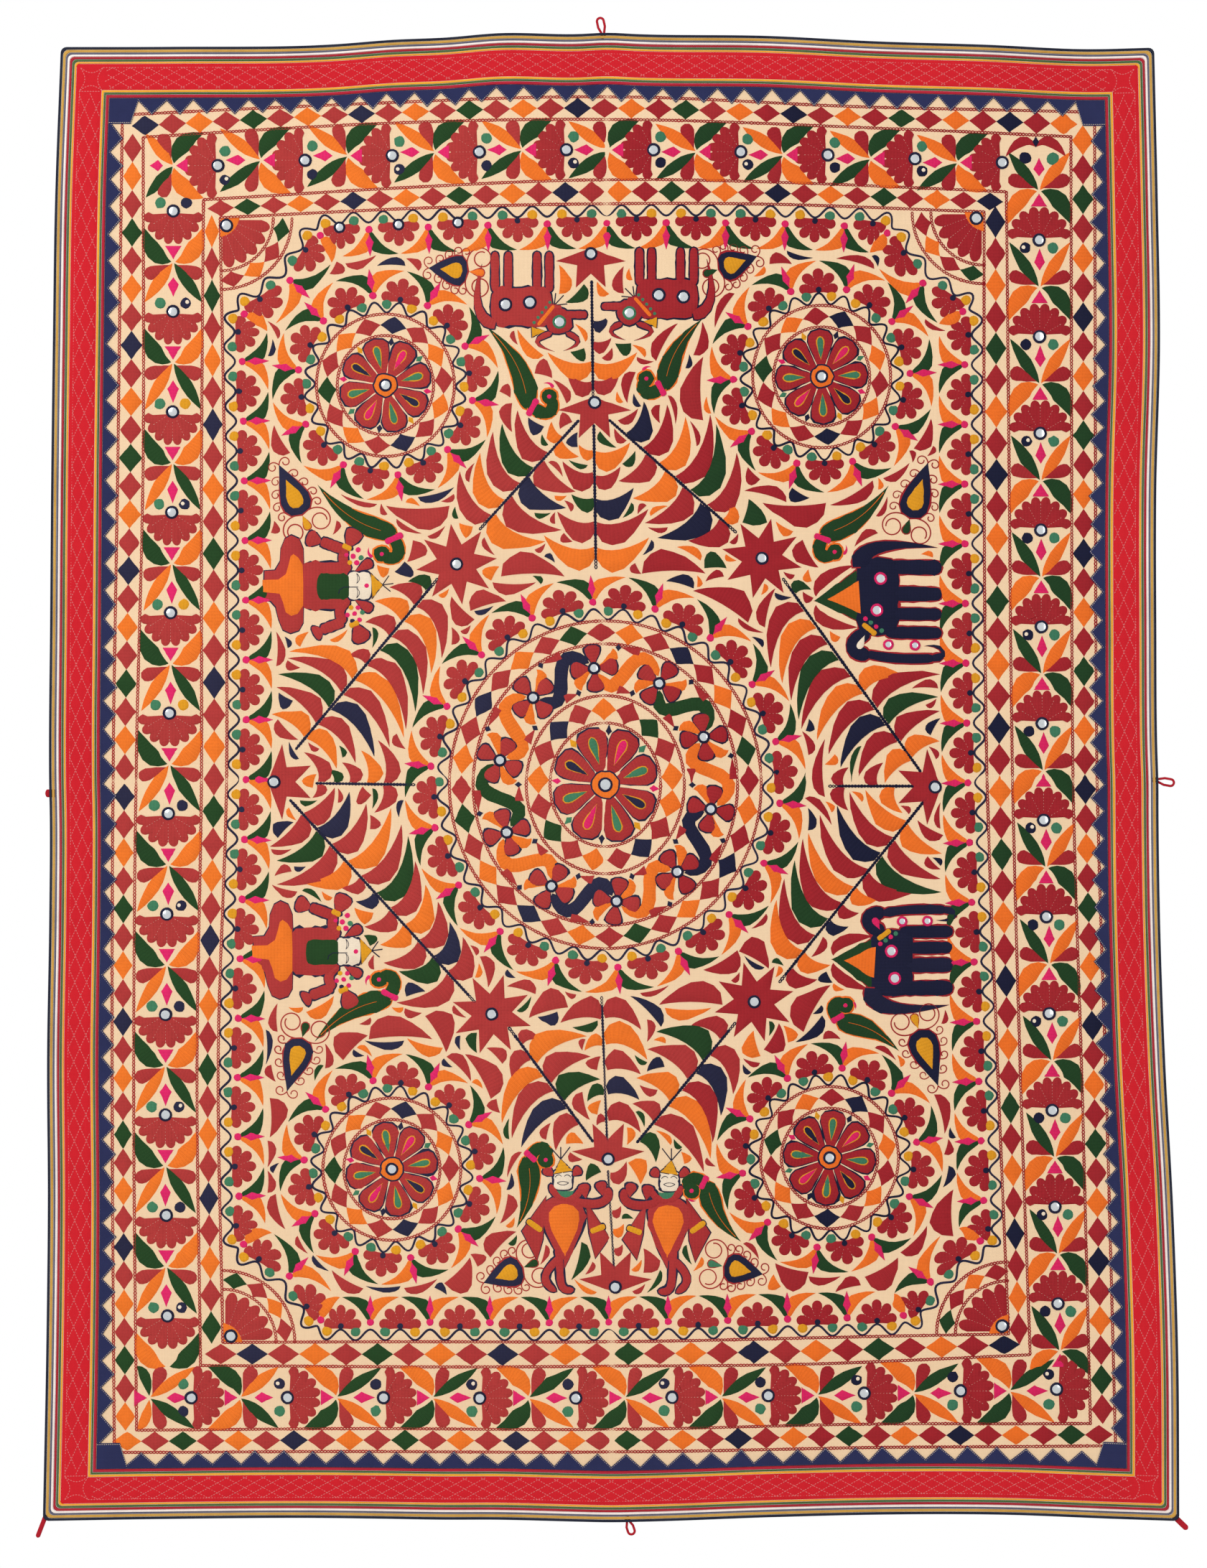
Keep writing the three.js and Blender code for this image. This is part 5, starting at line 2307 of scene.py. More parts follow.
@dataclass
class Elephant(Figure):
    """A navy elephant seen from the side with a saddle cloth, outlined in maroon."""

    ear: Thread

    rim = MAROON
    # place across and half width of each leg
    legs: tuple[Spot, ...] = ((-48, 11.0), (-11, 11.0), (17, 9.4), (43, 9.4))
    # place and radius of each mirror
    mirrors: tuple[tuple[float, ...], ...] = ((6, -32, 6.4), (1, 12, 6.4), (17, 60, 4.6), (54, 61, 4.6))

    def stitch(self, work: Embroidery) -> None:
        """Saddle, legs, body and tail, then the head with its strap and its long curled trunk.

        Args:
            work: Takes the shapes.
        """
        self.limbs(
            work, (GREEN, TRIANGLE, [(-24, -7), (-86, -1)], 38, 0, RIM),
            (ORANGE, TRIANGLE, [(-23, -6), (-68, -3)], 24, 0.4, 0),
            (MAROON, LENS, [(-84, -7), (-86, -34), (-32, -50)], 9, 0, 0),
            (MAROON, LENS, [(-84, 5), (-86, 34), (-26, 36)], 9, 0, 0),
            *((NAVY, BAND, [(12, y), (92, y + 1)], half, 0, RIM) for y, half in self.legs),
            (NAVY, BAND, [(2, -62), (2, 48)], 30, 0.1, RIM))
        tail = self.place.all([(-25, -48), (-28, -92), (84, -75)])
        work.blade(NAVY, LEAF, tail, 11, 17, lift=0.3, rim=self.rim)
        self.limbs(
            work, (NAVY, BAND, [(-16, 72), (20, 82), (60, 80), (82, 79)], 7.4, 0.1, RIM),
            (NAVY, HORN, [(74, 79), (106, 80), (96, 58), (68, 62)], 7.4, 0.1, RIM),
            (NAVY, BAND, [(-8, 44), (-38, 48), (-42, 76), (-8, 74)], 11, 0.2, RIM),
            (self.ear, DROP, [(-16, 47), (-25, 66)], 5.4, 0.8, 0),
            (GOLD, BAND, [(-19, 31), (0, 46)], 4.2, 0.7, 0))
        for k in range(4):
            bead = SEA_GREEN if k % 2 else PINK
            work.dot(bead, self.place.at(-15 + 7.5 * k, 24 + 5.5 * k), 3.6, 0.6, sides=8)
        for x, y, radius in self.mirrors:
            work.mirror(self.place.at(x, y), radius, 0.6, PINK)


@dataclass
class SeatedFigure(Figure):
    """A seated figure with four arms, its head to the right: plain shapes and a plain masklike face."""

    lap: tuple[Spot, ...] = (
        (-43, -21), (-28, -22), (-21, -34), (-20, -51), (-14, -66), (-5, -71), (6, -66), (12, -51), (13, 0),
        (12, 52), (6, 63), (-6, 67), (-17, 62), (-23, 47), (-27, 30), (-34, 22), (-44, 20))
    cloth: tuple[Spot, ...] = (
        (-45, -8), (-24, -9), (-13, -17), (-9, -30), (-6, -42), (-2, -45), (5, -40), (11, -30), (13, 0),
        (12, 28), (4, 40), (-5, 43), (-13, 38), (-17, 24), (-22, 12), (-45, 9))
    # place and colour of each bead on one side of the head
    beads: tuple[tuple[float, float, Thread], ...] = (
        (78, -52, NAVY), (88, -50, PINK), (71, -43, PINK), (81, -41, PINK), (92, -39, SEA_GREEN),
        (76, -32, GOLD), (86, -32, PINK))

    def stitch(self, work: Embroidery) -> None:
        """Lap and torso, then arms with cuffs, then the head with its ears, crown and drawn features.

        Args:
            work: Takes the shapes.
        """
        at = self.place.at
        work.patch(MAROON, self.place.all(self.lap), at(-8, 0), rim=self.rim)
        work.patch(ORANGE, self.place.all(self.cloth), at(-4, 0), 0.45)
        for c, low in ((-1, 0), (1, 10)):
            self.limbs(
                work, (MAROON, BAND, [(76, 20 * c), (62 - low, 34 * c), (70, 52 * c)], 7.5, 0, RIM),
                (MAROON, BAND, [(68, 50 * c), (36, 62 * c)], 8, 0.1, RIM),
                (MAROON, DROP, [(40, 60 * c), (16 + low, 68 * c)], 12, 0.2, RIM),
                (MAROON, DROP, [(72 + low, 50 * c), (86 + low, 79 * c)], 13, 0.2, RIM),
                (GOLD, BAND, [(66 + low, 56 * c), (79 + low, 51 * c)], 4, 0.5, 0))
            work.space.keep_clear(at(36, 46 * c), 11.0)
        self.limbs(
            work, (MAROON, BAND, [(7, 0), (79, 0)], 34, 0.1, RIM),
            (GREEN, BAND, [(30, 1), (78, 1)], 18.5, 0.55, 0),
            *((MAROON, DROP, [(84, 20 * c), (108, 34 * c)], 8, 0.2, RIM) for c in (-1, 1)),
            (PALE, BAND, [(72, 0), (107, 0)], 19.5, 0.5, RIM),
            (GOLD, TRIANGLE, [(107, 0), (122, -1)], 18, 0.4, 1.2))
        for c in (-1, 1):
            for tip in (94, 89):
                work.cord(NAVY, bow(self.place.all([(86, 3 * c), (tip, 10 * c), (86, 17 * c)])), 0.7, 1.0)
        work.cord(NAVY, self.place.all([(88, 2), (68, 2), (62, 6), (61, 11)]), 1.0, 1.1)
        work.dot(PINK, at(100, 0), 3.6, 1.0, sides=8)
        self.lines(work, (122, -1), ((131, -14), (137, -3), (133, 8)))
        for x, y, thread in self.beads:
            work.dot(thread, at(x, y), 4.0, sides=8)
            work.dot(thread, at(x + 2, -y * 0.95), 3.6, sides=8)


@dataclass
class Dancer(Figure):
    """A standing figure with a raised arm and crossed legs: plain shapes and a plain masklike face."""

    # corners of each sleeve, and the ends of its cuff
    sleeves: tuple[tuple[tuple[Spot, ...], list[Spot]], ...] = (
        (((-23, -35), (-58, 14), (-36, 56), (-27, 25)), [(-50, -1), (-29, 14)]),
        (((31, -30), (66, 24), (45, 53), (36, 17)), [(38, 15), (59, 7)]))
    hands: tuple[Spot, ...] = ((54, -47), (30, -44))

    def stitch(self, work: Embroidery) -> None:
        """Legs, sleeves and body, then the raised arm and the head.

        Args:
            work: Takes the shapes.
        """
        self.limbs(work, (MAROON, BAND, [(10, 40), (-16, 60), (-42, 80), (-9, 98)], 6.2, 0, RIM),
                   (MAROON, BAND, [(-9, 36), (2, 66), (-14, 104), (16, 95)], 6.2, 0.15, RIM))
        for corners, cuff in self.sleeves:
            edge = self.place.all(corners)
            work.patch(MAROON, edge, edge.mean(0), rim=self.rim)
            self.limbs(work, (GOLD, BAND, cuff, 5, 0.4, 1.0))
        self.limbs(
            work, (MAROON, DROP, [(2, 66), (0, -36)], 31, 0.15, RIM),
            (ORANGE, DROP, [(3, 49), (1, -25)], 22.5, 0.6, 0),
            (MAROON, BAND, [(12, -30), (50, -14), (72, -30), (60, -46)], 7, 0.25, RIM),
            *((MAROON, DROP, [(x + 2, y + 13), (x - 2, y - 8)], 9, 0.35, RIM) for x, y in self.hands),
            (MAROON, BAND, [(-17, -52), (-12, -24), (22, -24), (24, -46)], 6, 0.3, RIM),
            (SEA_GREEN, LENS, [(-10, -44), (4, -30), (16, -42)], 5.5, 0.4, 0),
            *((MAROON, DROP, [(10 * c, -62), (26 * c - 1, -73)], 7.5, 0.1, RIM) for c in (-1, 1)),
            (PALE, BAND, [(0, -72), (0, -43)], 13.5, 0.5, RIM),
            (GOLD, TRIANGLE, [(0, -68), (-3, -86)], 13.5, 0.8, 1.2))
        self.lines(work, (-3, -86), ((-17, -102), (-3, -103), (10, -103)))
        for c in (-1, 1):
            eye, lip = [(2 * c, -62), (6 * c, -67), (11 * c, -61)], [(-8, -53), (0, -52 + 5 * c), (8, -53)]
            for drawn in (eye, lip):
                work.cord(NAVY, bow(self.place.all(drawn)), 0.7, 1.1)


@dataclass
class Parrot:
    """A green parrot from its tail's tip to its round head, with a pink collar and orange outlines."""

    tail: Spot
    head: Spot
    mirrored: bool = False

    drawn: float = 117.0

    def stitch(self, work: Embroidery) -> None:
        """The body swells from the tail and hooks round through the collar to the head.

        Args:
            work: Takes the shapes.
        """
        tail, head = np.array(self.tail, float), np.array(self.head, float)
        size = float(np.linalg.norm(head - tail)) / self.drawn
        at = Place(tail, head - tail, self.mirrored, (size, size)).all
        body = at([(0, 0), (48, -4), (80, 6), (112, 31)])
        work.blade(GREEN, DROP, body, 16.5, 15, rim=ORANGE, width=1.4)
        neck = at([(104, 24), (138, 26), (138, 2), (117, 0)])
        work.blade(GREEN, BAND, neck, 9.5, lift=0.2, rim=ORANGE, width=1.2)
        work.cord(ORANGE, bezier(body, np.linspace(0.08, 0.82, 18)), 0.6, 0.65)
        work.blade(PINK, BAND, at([(109, 13), (117, 36)]), 4.6, lift=0.7)
        work.dot(GREEN, head, 12, 0.45, ORANGE)
        work.dot(PINK, head, 3.4, 0.9, sides=8)
        work.blade(PINK, HORN, at([(112, -11), (104, -14), (100, -6)]), 3.0)


FIGURES = (
    Beast(Place((726, 428))), Beast(Place((929.5, 417), (-1, 0), True, (1.0, 0.93))),
    Elephant(Place((1220, 838)), PALE), Elephant(Place((1240, 1335), (1, 0), True, (0.95, 0.86)), PINK),
    SeatedFigure(Place((411, 816))), SeatedFigure(Place((396, 1325))),
    Dancer(Place((784, 1700))), Dancer(Place((932, 1702), (-1, 0), True)),
    Parrot((678, 456), (765, 553)), Parrot((978, 445), (900, 528), True),
    Parrot((1237, 677), (1162, 769)), Parrot((1251, 1463), (1177, 1400), True),
    Parrot((443, 676), (532, 772), True), Parrot((439, 1450), (528, 1364)),
    Parrot((720, 1709), (760, 1615), True), Parrot((1031, 1728), (963, 1658)),
    Paisley((597, 374), (652, 379), ORANGE), Paisley((1054, 358), (1001, 376), GREEN),
    Paisley((389, 648), (421, 717), GOLD), Paisley((1292, 645), (1267, 722), GREEN),
    Paisley((400, 1520), (421, 1446), GREEN), Paisley((1306, 1512), (1279, 1434), GOLD),
    Paisley((674, 1786), (728, 1765), GREEN), Paisley((1062, 1774), (1008, 1763), SEA_GREEN),
)


@dataclass
class Studio:
    """Soft light, a pale floor below the hanging and a camera square to it."""

    distance_m: float = 8.0
    view_height_m: float = 2.184
    aim_m: float = -1.044
    sensor: float = 36.0
    far_m: float = 60.0
    # name, place, size and power of each lamp
    lamps: tuple[tuple[str, tuple[float, ...], float, float], ...] = (
        ("window_light", (-3.2, -4.6, 1.4), 3.2, 170.0),
        ("fill_light", (3.6, -5.0, -0.6), 3.0, 50.0))
    room_light: float = 0.60
    # half sizes, top and thickness
    floor_m: tuple[float, ...] = (1.6, 0.9, -2.32, 0.03)

    def camera(self) -> None:
        """A long lens level with the drawing's middle, so that the drawing fills the frame."""
        data = bpy.data.cameras.new("front_camera")
        data.sensor_width = self.sensor
        data.lens = self.sensor * self.distance_m / self.view_height_m
        data.clip_end = self.far_m
        made = put("front_camera", data)
        made.location = (0, -self.distance_m, self.aim_m)
        made.rotation_euler = (math.pi / 2, 0, 0)
        bpy.context.scene.camera = made

    def light(self) -> None:
        """Large square lamps turned towards the hanging's middle."""
        for name, place, size_m, watts in self.lamps:
            data = bpy.data.lights.new(name, "AREA")
            data.size, data.energy = size_m, watts
            made = put(name, data)
            made.location = place
            x, y, z = np.array([0, 0, self.aim_m]) - np.array(place)
            made.rotation_euler = (math.atan2(math.hypot(x, y), -z), 0, math.atan2(y, x) - math.pi / 2)

    def surroundings(self) -> None:
        """Plain white to the camera, and a soft grey room to everything else."""
        world = bpy.data.worlds.new("soft_room")
        bpy.context.scene.world = world
        world.use_nodes = True
        tree = world.node_tree
        tree.nodes.clear()
        output, blend, seen, room, shown = (tree.nodes.new(f"ShaderNode{kind}") for kind in (
            "OutputWorld", "MixShader", "LightPath", "Background", "Background"))
        for background, strength in ((room, self.room_light), (shown, 1.0)):
            background.inputs["Color"].default_value = (1, 1, 1, 1)
            background.inputs["Strength"].default_value = strength
        for k, out in enumerate((seen.outputs["Is Camera Ray"], room.outputs[0], shown.outputs[0])):
            tree.links.new(out, blend.inputs[k])
        tree.links.new(blend.outputs[0], output.inputs["Surface"])

    def floor(self) -> None:
        """A pale slab below the hanging: two rows of four corners, top and bottom, with their rims joined."""
        half_x, half_y, top, thick = self.floor_m
        corners = np.array([(-1, -1), (1, -1), (1, 1), (-1, 1)], float) * np.array([half_x, half_y])
        rows = np.stack([np.column_stack([corners, np.full(4, z)]) for z in (top, top - thick)])
        mesh = bpy.data.meshes.new("floor")
        sides = ((k, k + 4, (k + 1) % 4 + 4, (k + 1) % 4) for k in range(4))
        mesh.from_pydata(rows.reshape(-1, 3), [], [(0, 1, 2, 3), (7, 6, 5, 4), *sides])
        mesh.materials.append(FloorFinish().material())
        put("floor", mesh)

    def build(self) -> None:
        """Sets up everything round the hanging."""
        self.camera()
        self.light()
        self.surroundings()
        self.floor()
        bpy.context.scene.view_settings.view_transform = "Standard"


def slab(form: ClothForm, u: Array, v: Array, low: Array | float, high: Array) -> Mesher:
    """A closed sheet: front and back grids of one size, joined by a band of faces round the rim.

    Args:
        form: Carries flat places into the frame.
        u: Places across the flat cloth, as a grid.
        v: Places down the flat cloth, as a grid.
        low: Height of the back.
        high: Height of the front.

    Returns:
        What builds the sheet.
    """
    rows, cols = u.shape
    number = np.arange(rows * cols).reshape(rows, cols)
    rim = np.concatenate([number[0, :-1], number[:-1, -1], number[-1, :0:-1], number[:0:-1, 0]])
    after, size = np.roll(rim, -1), rows * cols
    halves = ((rim, after, after + size), (rim, after + size, rim + size))
    band = np.concatenate([np.stack(half, -1) for half in halves])
    grid = grid_faces(rows, cols, tube=False)
    points = np.concatenate([form.raise_flat(u, v, lift).reshape(-1, 3) for lift in (high, low)])
    flat = np.stack([u, v], -1).reshape(-1, 2) * MM
    mesher = Mesher()
    faces = np.concatenate([grid, grid[:, ::-1] + size, band[:, ::-1]])
    mesher.add(points[None], faces, np.concatenate([flat, flat]))
    return mesher


@dataclass
class GroundSheet:
    """The cream cotton ground: one sheet on the cloth's folds, its edge tucked beside the piping."""

    columns: int = 78
    rows: int = 104
    tuck: float = 0.1
    pucker: float = 0.12
    # millimetres to a radian of the puckers' waves, and of the waves that bend them
    wave_across: float = 23
    wave_down: float = 19
    bend_across: float = 37
    bend_down: float = 41
    finish: CottonFinish = CottonFinish("cream_cotton", (245, 213, 174), (226, 188, 146), patch=0.1)

    def build(self, form: ClothForm) -> bpy.types.Object:
        """A sheet over the flat cloth, with faint puckers in front: a product of two bent waves.

        Args:
            form: Gives the cloth's size and folds.

        Returns:
            The finished piece.
        """
        edge = PANEL_EDGE - self.tuck
        across = np.linspace(edge, form.width - PANEL_EDGE + self.tuck, self.columns)
        down = np.linspace(edge, form.height - PANEL_EDGE + self.tuck, self.rows)
        v, u = np.meshgrid(down, across, indexing="ij")
        ripple = np.sin(u / self.wave_across + np.sin(v / self.bend_down))
        ripple = ripple * np.sin(v / self.wave_down + np.sin(u / self.bend_across))
        sheet = slab(form, u, v, 0.0, GROUND_TOP + self.pucker * (ripple - 1))
        made = sheet.build("ground_cloth", self.finish, "cream_cotton")
        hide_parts("ground_panel")
        return made


class SideMap:
    """One side of the cloth: places are how far along it and how far in from the outer edge."""

    def __init__(self, form: ClothForm, side: Side) -> None:
        """Keeps the side's length and the depth of the cloth behind it."""
        self.form, self.side = form, side
        self.length, self.depth = (form.width, form.height) if side.level else (form.height, form.width)

    def flat(self, along: Array, inward: Array) -> tuple[Array, Array]:
        """Places across and down the flat cloth."""
        deep = self.depth - inward if self.side in (BOTTOM, RIGHT) else inward
        return (along, deep) if self.side.level else (deep, along)

    def spot(self, along: Array, inward: Array) -> Array:
        """Draft places."""
        return self.form.spot(*self.flat(along, inward))


@dataclass
class RedBorder:
    """The quilted red border: four mitred lengths, puffed between the lines of a stitched lattice."""

    start: float = 23.7
    end: float = 60.4
    thickness: float = 2.0
    puff: float = 0.85
    gap: float = 0.15
    # how far from the side's ends the lattice stops, and over how long it fades
    margin: float = 78.0
    fade: float = 12
    # over how wide a strip the cloth rounds off at its edges
    round_off: float = 3
    # how far in from the outer and from the inner edge the slanting rows end
    lattice_in: float = 5.5
    lattice_end: float = 1.6
    # how far past the margin the rows go on beside a corner
    corner_run: float = 16
    # along and across steps of the lattice on the level and on the upright sides
    lattice = {True: (25.0, 13.8), False: (37.0, 16.5)}
    # height, pitch, half width and dye of a stitch
    stitch: tuple[float, ...] = (2.5, 4.0, 0.7, 1.0)
    corner_bulge: float = 7.0
    step: float = 5.0
    rows: int = 11
    finish: CottonFinish = CottonFinish("red_quilted_cotton", (212, 36, 46), (186, 24, 38), patch=0.12)

    def quilt(self, lane: SideMap, along: Array, inward: Array) -> Array:
        """Puffs: the lesser of two ridged waves along the lattice's two directions, level at the corners.

        Args:
            lane: The side.
            along: Places along it.
            inward: Places in from the edge.

        Returns:
            How far the puffs rise.
        """
        pitch, deep = self.lattice[lane.side.level]
        rise = (inward - self.start - self.lattice_in) / deep
        gone = (along - lane.length / 2) / pitch
        ridge = [np.abs(np.sin(np.pi * (gone + sign * rise))) for sign in (1, -1)]
        inside = (np.minimum(along, lane.length - along) - self.margin + self.fade) / self.fade
        inside = np.clip(inside, 0, 1)
        edge = np.clip(np.minimum(inward - self.start, self.end - inward) / self.round_off, 0, 1)
        return self.puff * edge * (inside * np.minimum(*ridge) ** 0.7 + 0.4 * (1 - inside))

    def build(self, form: ClothForm, work: Embroidery) -> None:
        """Builds the four lengths and lays their running stitches.

        Args:
            form: Gives the cloth's size and folds.
            work: Takes the stitches.
        """
        for side in Side:
            lane = SideMap(form, side)
            inward = np.linspace(self.start + self.gap, self.end - self.gap, self.rows)[:, None]
            share = np.linspace(0, 1, round(lane.length / self.step))[None]
            along = inward + share * (lane.length - 2 * inward)
            inward = np.broadcast_to(inward, along.shape)
            edge = np.minimum(inward - self.start, self.end - inward) / self.round_off
            high = self.thickness * np.clip(0.55 + edge, 0, 1) + self.quilt(lane, along, inward)
            sheet = slab(form, *lane.flat(along, inward), 0.0, high)
            piece = sheet.build(f"red_border_{side.value}", self.finish, "red_quilted_cotton")
            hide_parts(f"border_red_{side.value}")
            (self.end - self.start) * MM
            (lane.length - 2 * self.start) * MM
            (self.end - self.start) * (lane.length - self.start - self.end) * MM * MM
            self.lattice_stitches(work, lane)

    def lattice_stitches(self, work: Embroidery, lane: SideMap) -> None:
        """A straight row near the outer edge and slanting rows in from it, cut off at the corner squares.

        Args:
            work: Takes the stitches.
            lane: The side.
        """
        pitch, deep = self.lattice[lane.side.level]
        low, high = self.start + self.lattice_in, self.end - self.lattice_end
        first, last = self.margin - self.corner_run, lane.length - self.margin + self.corner_run
        along = np.linspace(self.end, lane.length - self.end, 60)
        self.row(work, lane, along, np.full_like(along, low))
        run = (high - low) / deep * pitch
        reach = math.ceil((lane.length / 2 + run) / pitch)
        share = np.linspace(0, 1, 7)
        inward = low + (high - low) * share
        for k in range(-reach, reach + 1):
            for sign in (1, -1):
                along = lane.length / 2 + k * pitch + sign * run * share
                keep = (along > first) & (along < last)
                if keep.sum() > 1:
                    self.row(work, lane, along[keep], inward[keep])
        for near in (True, False):
            self.corner(work, lane, near)

    def row(self, work: Embroidery, lane: SideMap, along: Array, inward: Array) -> None:
        """One row of stitches."""
        work.running("quilting_stitches", lane.spot(along, inward), *self.stitch)

    def corner(self, work: Embroidery, lane: SideMap, near: bool) -> None:
        """Two bowed sides of the stitched square in a corner; the next side's lane lays the other two.

        Args:
            work: Takes the stitches.
            lane: The side.
            near: Whether the corner is at the side's start.
        """
        low, high = self.start + self.lattice_in, self.end + 1.0
        share = np.linspace(0, 1, 14)
        bulge = self.corner_bulge * np.sin(np.pi * share)
        reach = low + (high - low) * share
        for inward in (low + bulge, high - bulge):
            self.row(work, lane, reach if near else lane.length - reach, inward)
        if not lane.side.level:
            reach = np.full(14, self.end + 2.0)
            inward = self.start + 4 + (self.end - self.start - 6) * share
            self.row(work, lane, reach if near else lane.length - reach, inward)


@dataclass(frozen=True)
class Strip:
    """One narrow folded strip of the edge."""

    name: str
    width: float
    thickness: float
    colour: Tint
    soiled: Tint
    slot: str


@dataclass
class EdgeStrips:
    """Narrow folded strips sewn one against the next, each laid round the cloth in one length."""

    gap: float = 0.3
    corner_steps: int = 5
    step: float = 16.0
    # the outer edge's corner radius, how deep in the corners get sharp, and the least radius
    corner_radius: float = 8
    sharp_depth: float = 60
    least_radius: float = 0.5
    # outermost first; the red border lies between the yellow strip and the yellow piping
    outer: tuple[Strip, ...] = (
        Strip("binding_navy", 3.8, 3.0, (42, 46, 62), (30, 32, 46), "dark_navy_binding"),
        Strip("strip_ochre", 4.2, 2.6, (214, 166, 82), (170, 120, 56), "ochre_cotton"),
        Strip("strip_grey_blue", 2.6, 2.2, (100, 98, 118), (74, 74, 96), "grey_blue_cotton"),
        Strip("strip_white", 3.2, 2.6, (255, 244, 236), (226, 208, 196), "white_cotton"),
        Strip("strip_dark_red", 3.7, 2.4, (176, 46, 56), (146, 36, 44), "dark_red_cotton"),
        Strip("strip_green", 3.2, 2.4, (82, 112, 66), (58, 88, 50), "green_cotton"),
        Strip("strip_yellow", 3.0, 2.6, (244, 172, 62), (220, 138, 44), "yellow_cotton"),
    )
    inner: tuple[Strip, ...] = (
        Strip("piping_yellow", 3.6, 2.6, (246, 176, 58), (222, 142, 42), "yellow_cotton"),
        Strip("piping_green", 2.8, 2.4, (76, 108, 58), (56, 86, 46), "green_cotton"),
        Strip("piping_pink", 4.8, 2.2, (190, 44, 62), (160, 36, 52), "pink_cotton"),
    )
    # share of the width across, share of the thickness
    section = np.array([(-1, 0), (-1, 0.5), (-0.72, 0.9), (0, 1.0), (0.72, 0.9), (1, 0.5), (1, 0)])

    def loop(self, form: ClothForm, offset: float) -> tuple[Array, Array]:
        """Flat places round the cloth at one distance from its edge, with small round corners.

        Args:
            form: Gives the cloth's size.
            offset: Distance in from the outer edge.

        Returns:
            Places across and down: straight runs in even steps, and quarter turns at the corners.
        """
        radius = max(self.least_radius, self.corner_radius * (1 - offset / self.sharp_depth))
        near = offset + radius
        far_x, far_y = form.width - near, form.height - near
        turns = np.radians(np.linspace(-90, 0, self.corner_steps))
        runs = []
        sides = ((far_x, near, far_x - near, 0), (far_x, far_y, far_y - near, 90),
                 (near, far_y, far_x - near, 180), (near, near, far_y - near, 270))
        for x, y, length, turn in sides:
            back = np.linspace(length, 0, round(form.height / self.step))[:-1]
            heading = polar(turn, 1.0)
            start = np.array([x, y]) + radius * np.array([heading[1], -heading[0]])
            runs.append(start - heading * back[:, None])
            runs.append(np.array([x, y]) + radius * circle(turns + math.radians(turn)))
        path = np.concatenate(runs)
        return path[:, 0], path[:, 1]

    def build(self, form: ClothForm) -> list[bpy.types.Object]:
        """Carries each strip's rounded section round the cloth.

        Args:
            form: Gives the cloth's size and folds.

        Returns:
            The finished strips.
        """
        made = []
        for start, strips in ((0.0, self.outer), (RedBorder.end, self.inner)):
            for strip in strips:
                made.append(self.strip(form, strip, start))
                start += strip.width
        return made

    def strip(self, form: ClothForm, strip: Strip, start: float) -> bpy.types.Object:
        """One strip: a loop for each point of its section, a little uneven in height along the way.

        Args:
            form: Gives the cloth's size and folds.
            strip: What it is.
            start: How far in from the outer edge it starts.

        Returns:
            The finished piece.
        """
        half = (strip.width - self.gap) / 2
        rows = []
        for share, rise in self.section:
            u, v = self.loop(form, start + strip.width / 2 + share * half)
            gone = (u + v) / 60
            uneven = 1 + 0.08 * np.sin(gone * 3.1 + start) + 0.05 * np.sin(gone * 7.3 + 2 * start)
            rows.append(form.raise_flat(u, v, strip.thickness * rise * uneven))
        points = np.stack(rows, 1)
        mesher = Mesher()
        mesher.add(points.reshape(1, -1, 3), grid_faces(len(points), len(self.section), ring=True))
        finish = CottonFinish(f"{strip.name}_cotton", strip.colour, strip.soiled, patch=0.3, slub=0.16)
        made = mesher.build(f"{strip.name}_run", finish, strip.slot)
        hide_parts(*(f"{strip.name}_{side.value}" for side in Side))
        return made


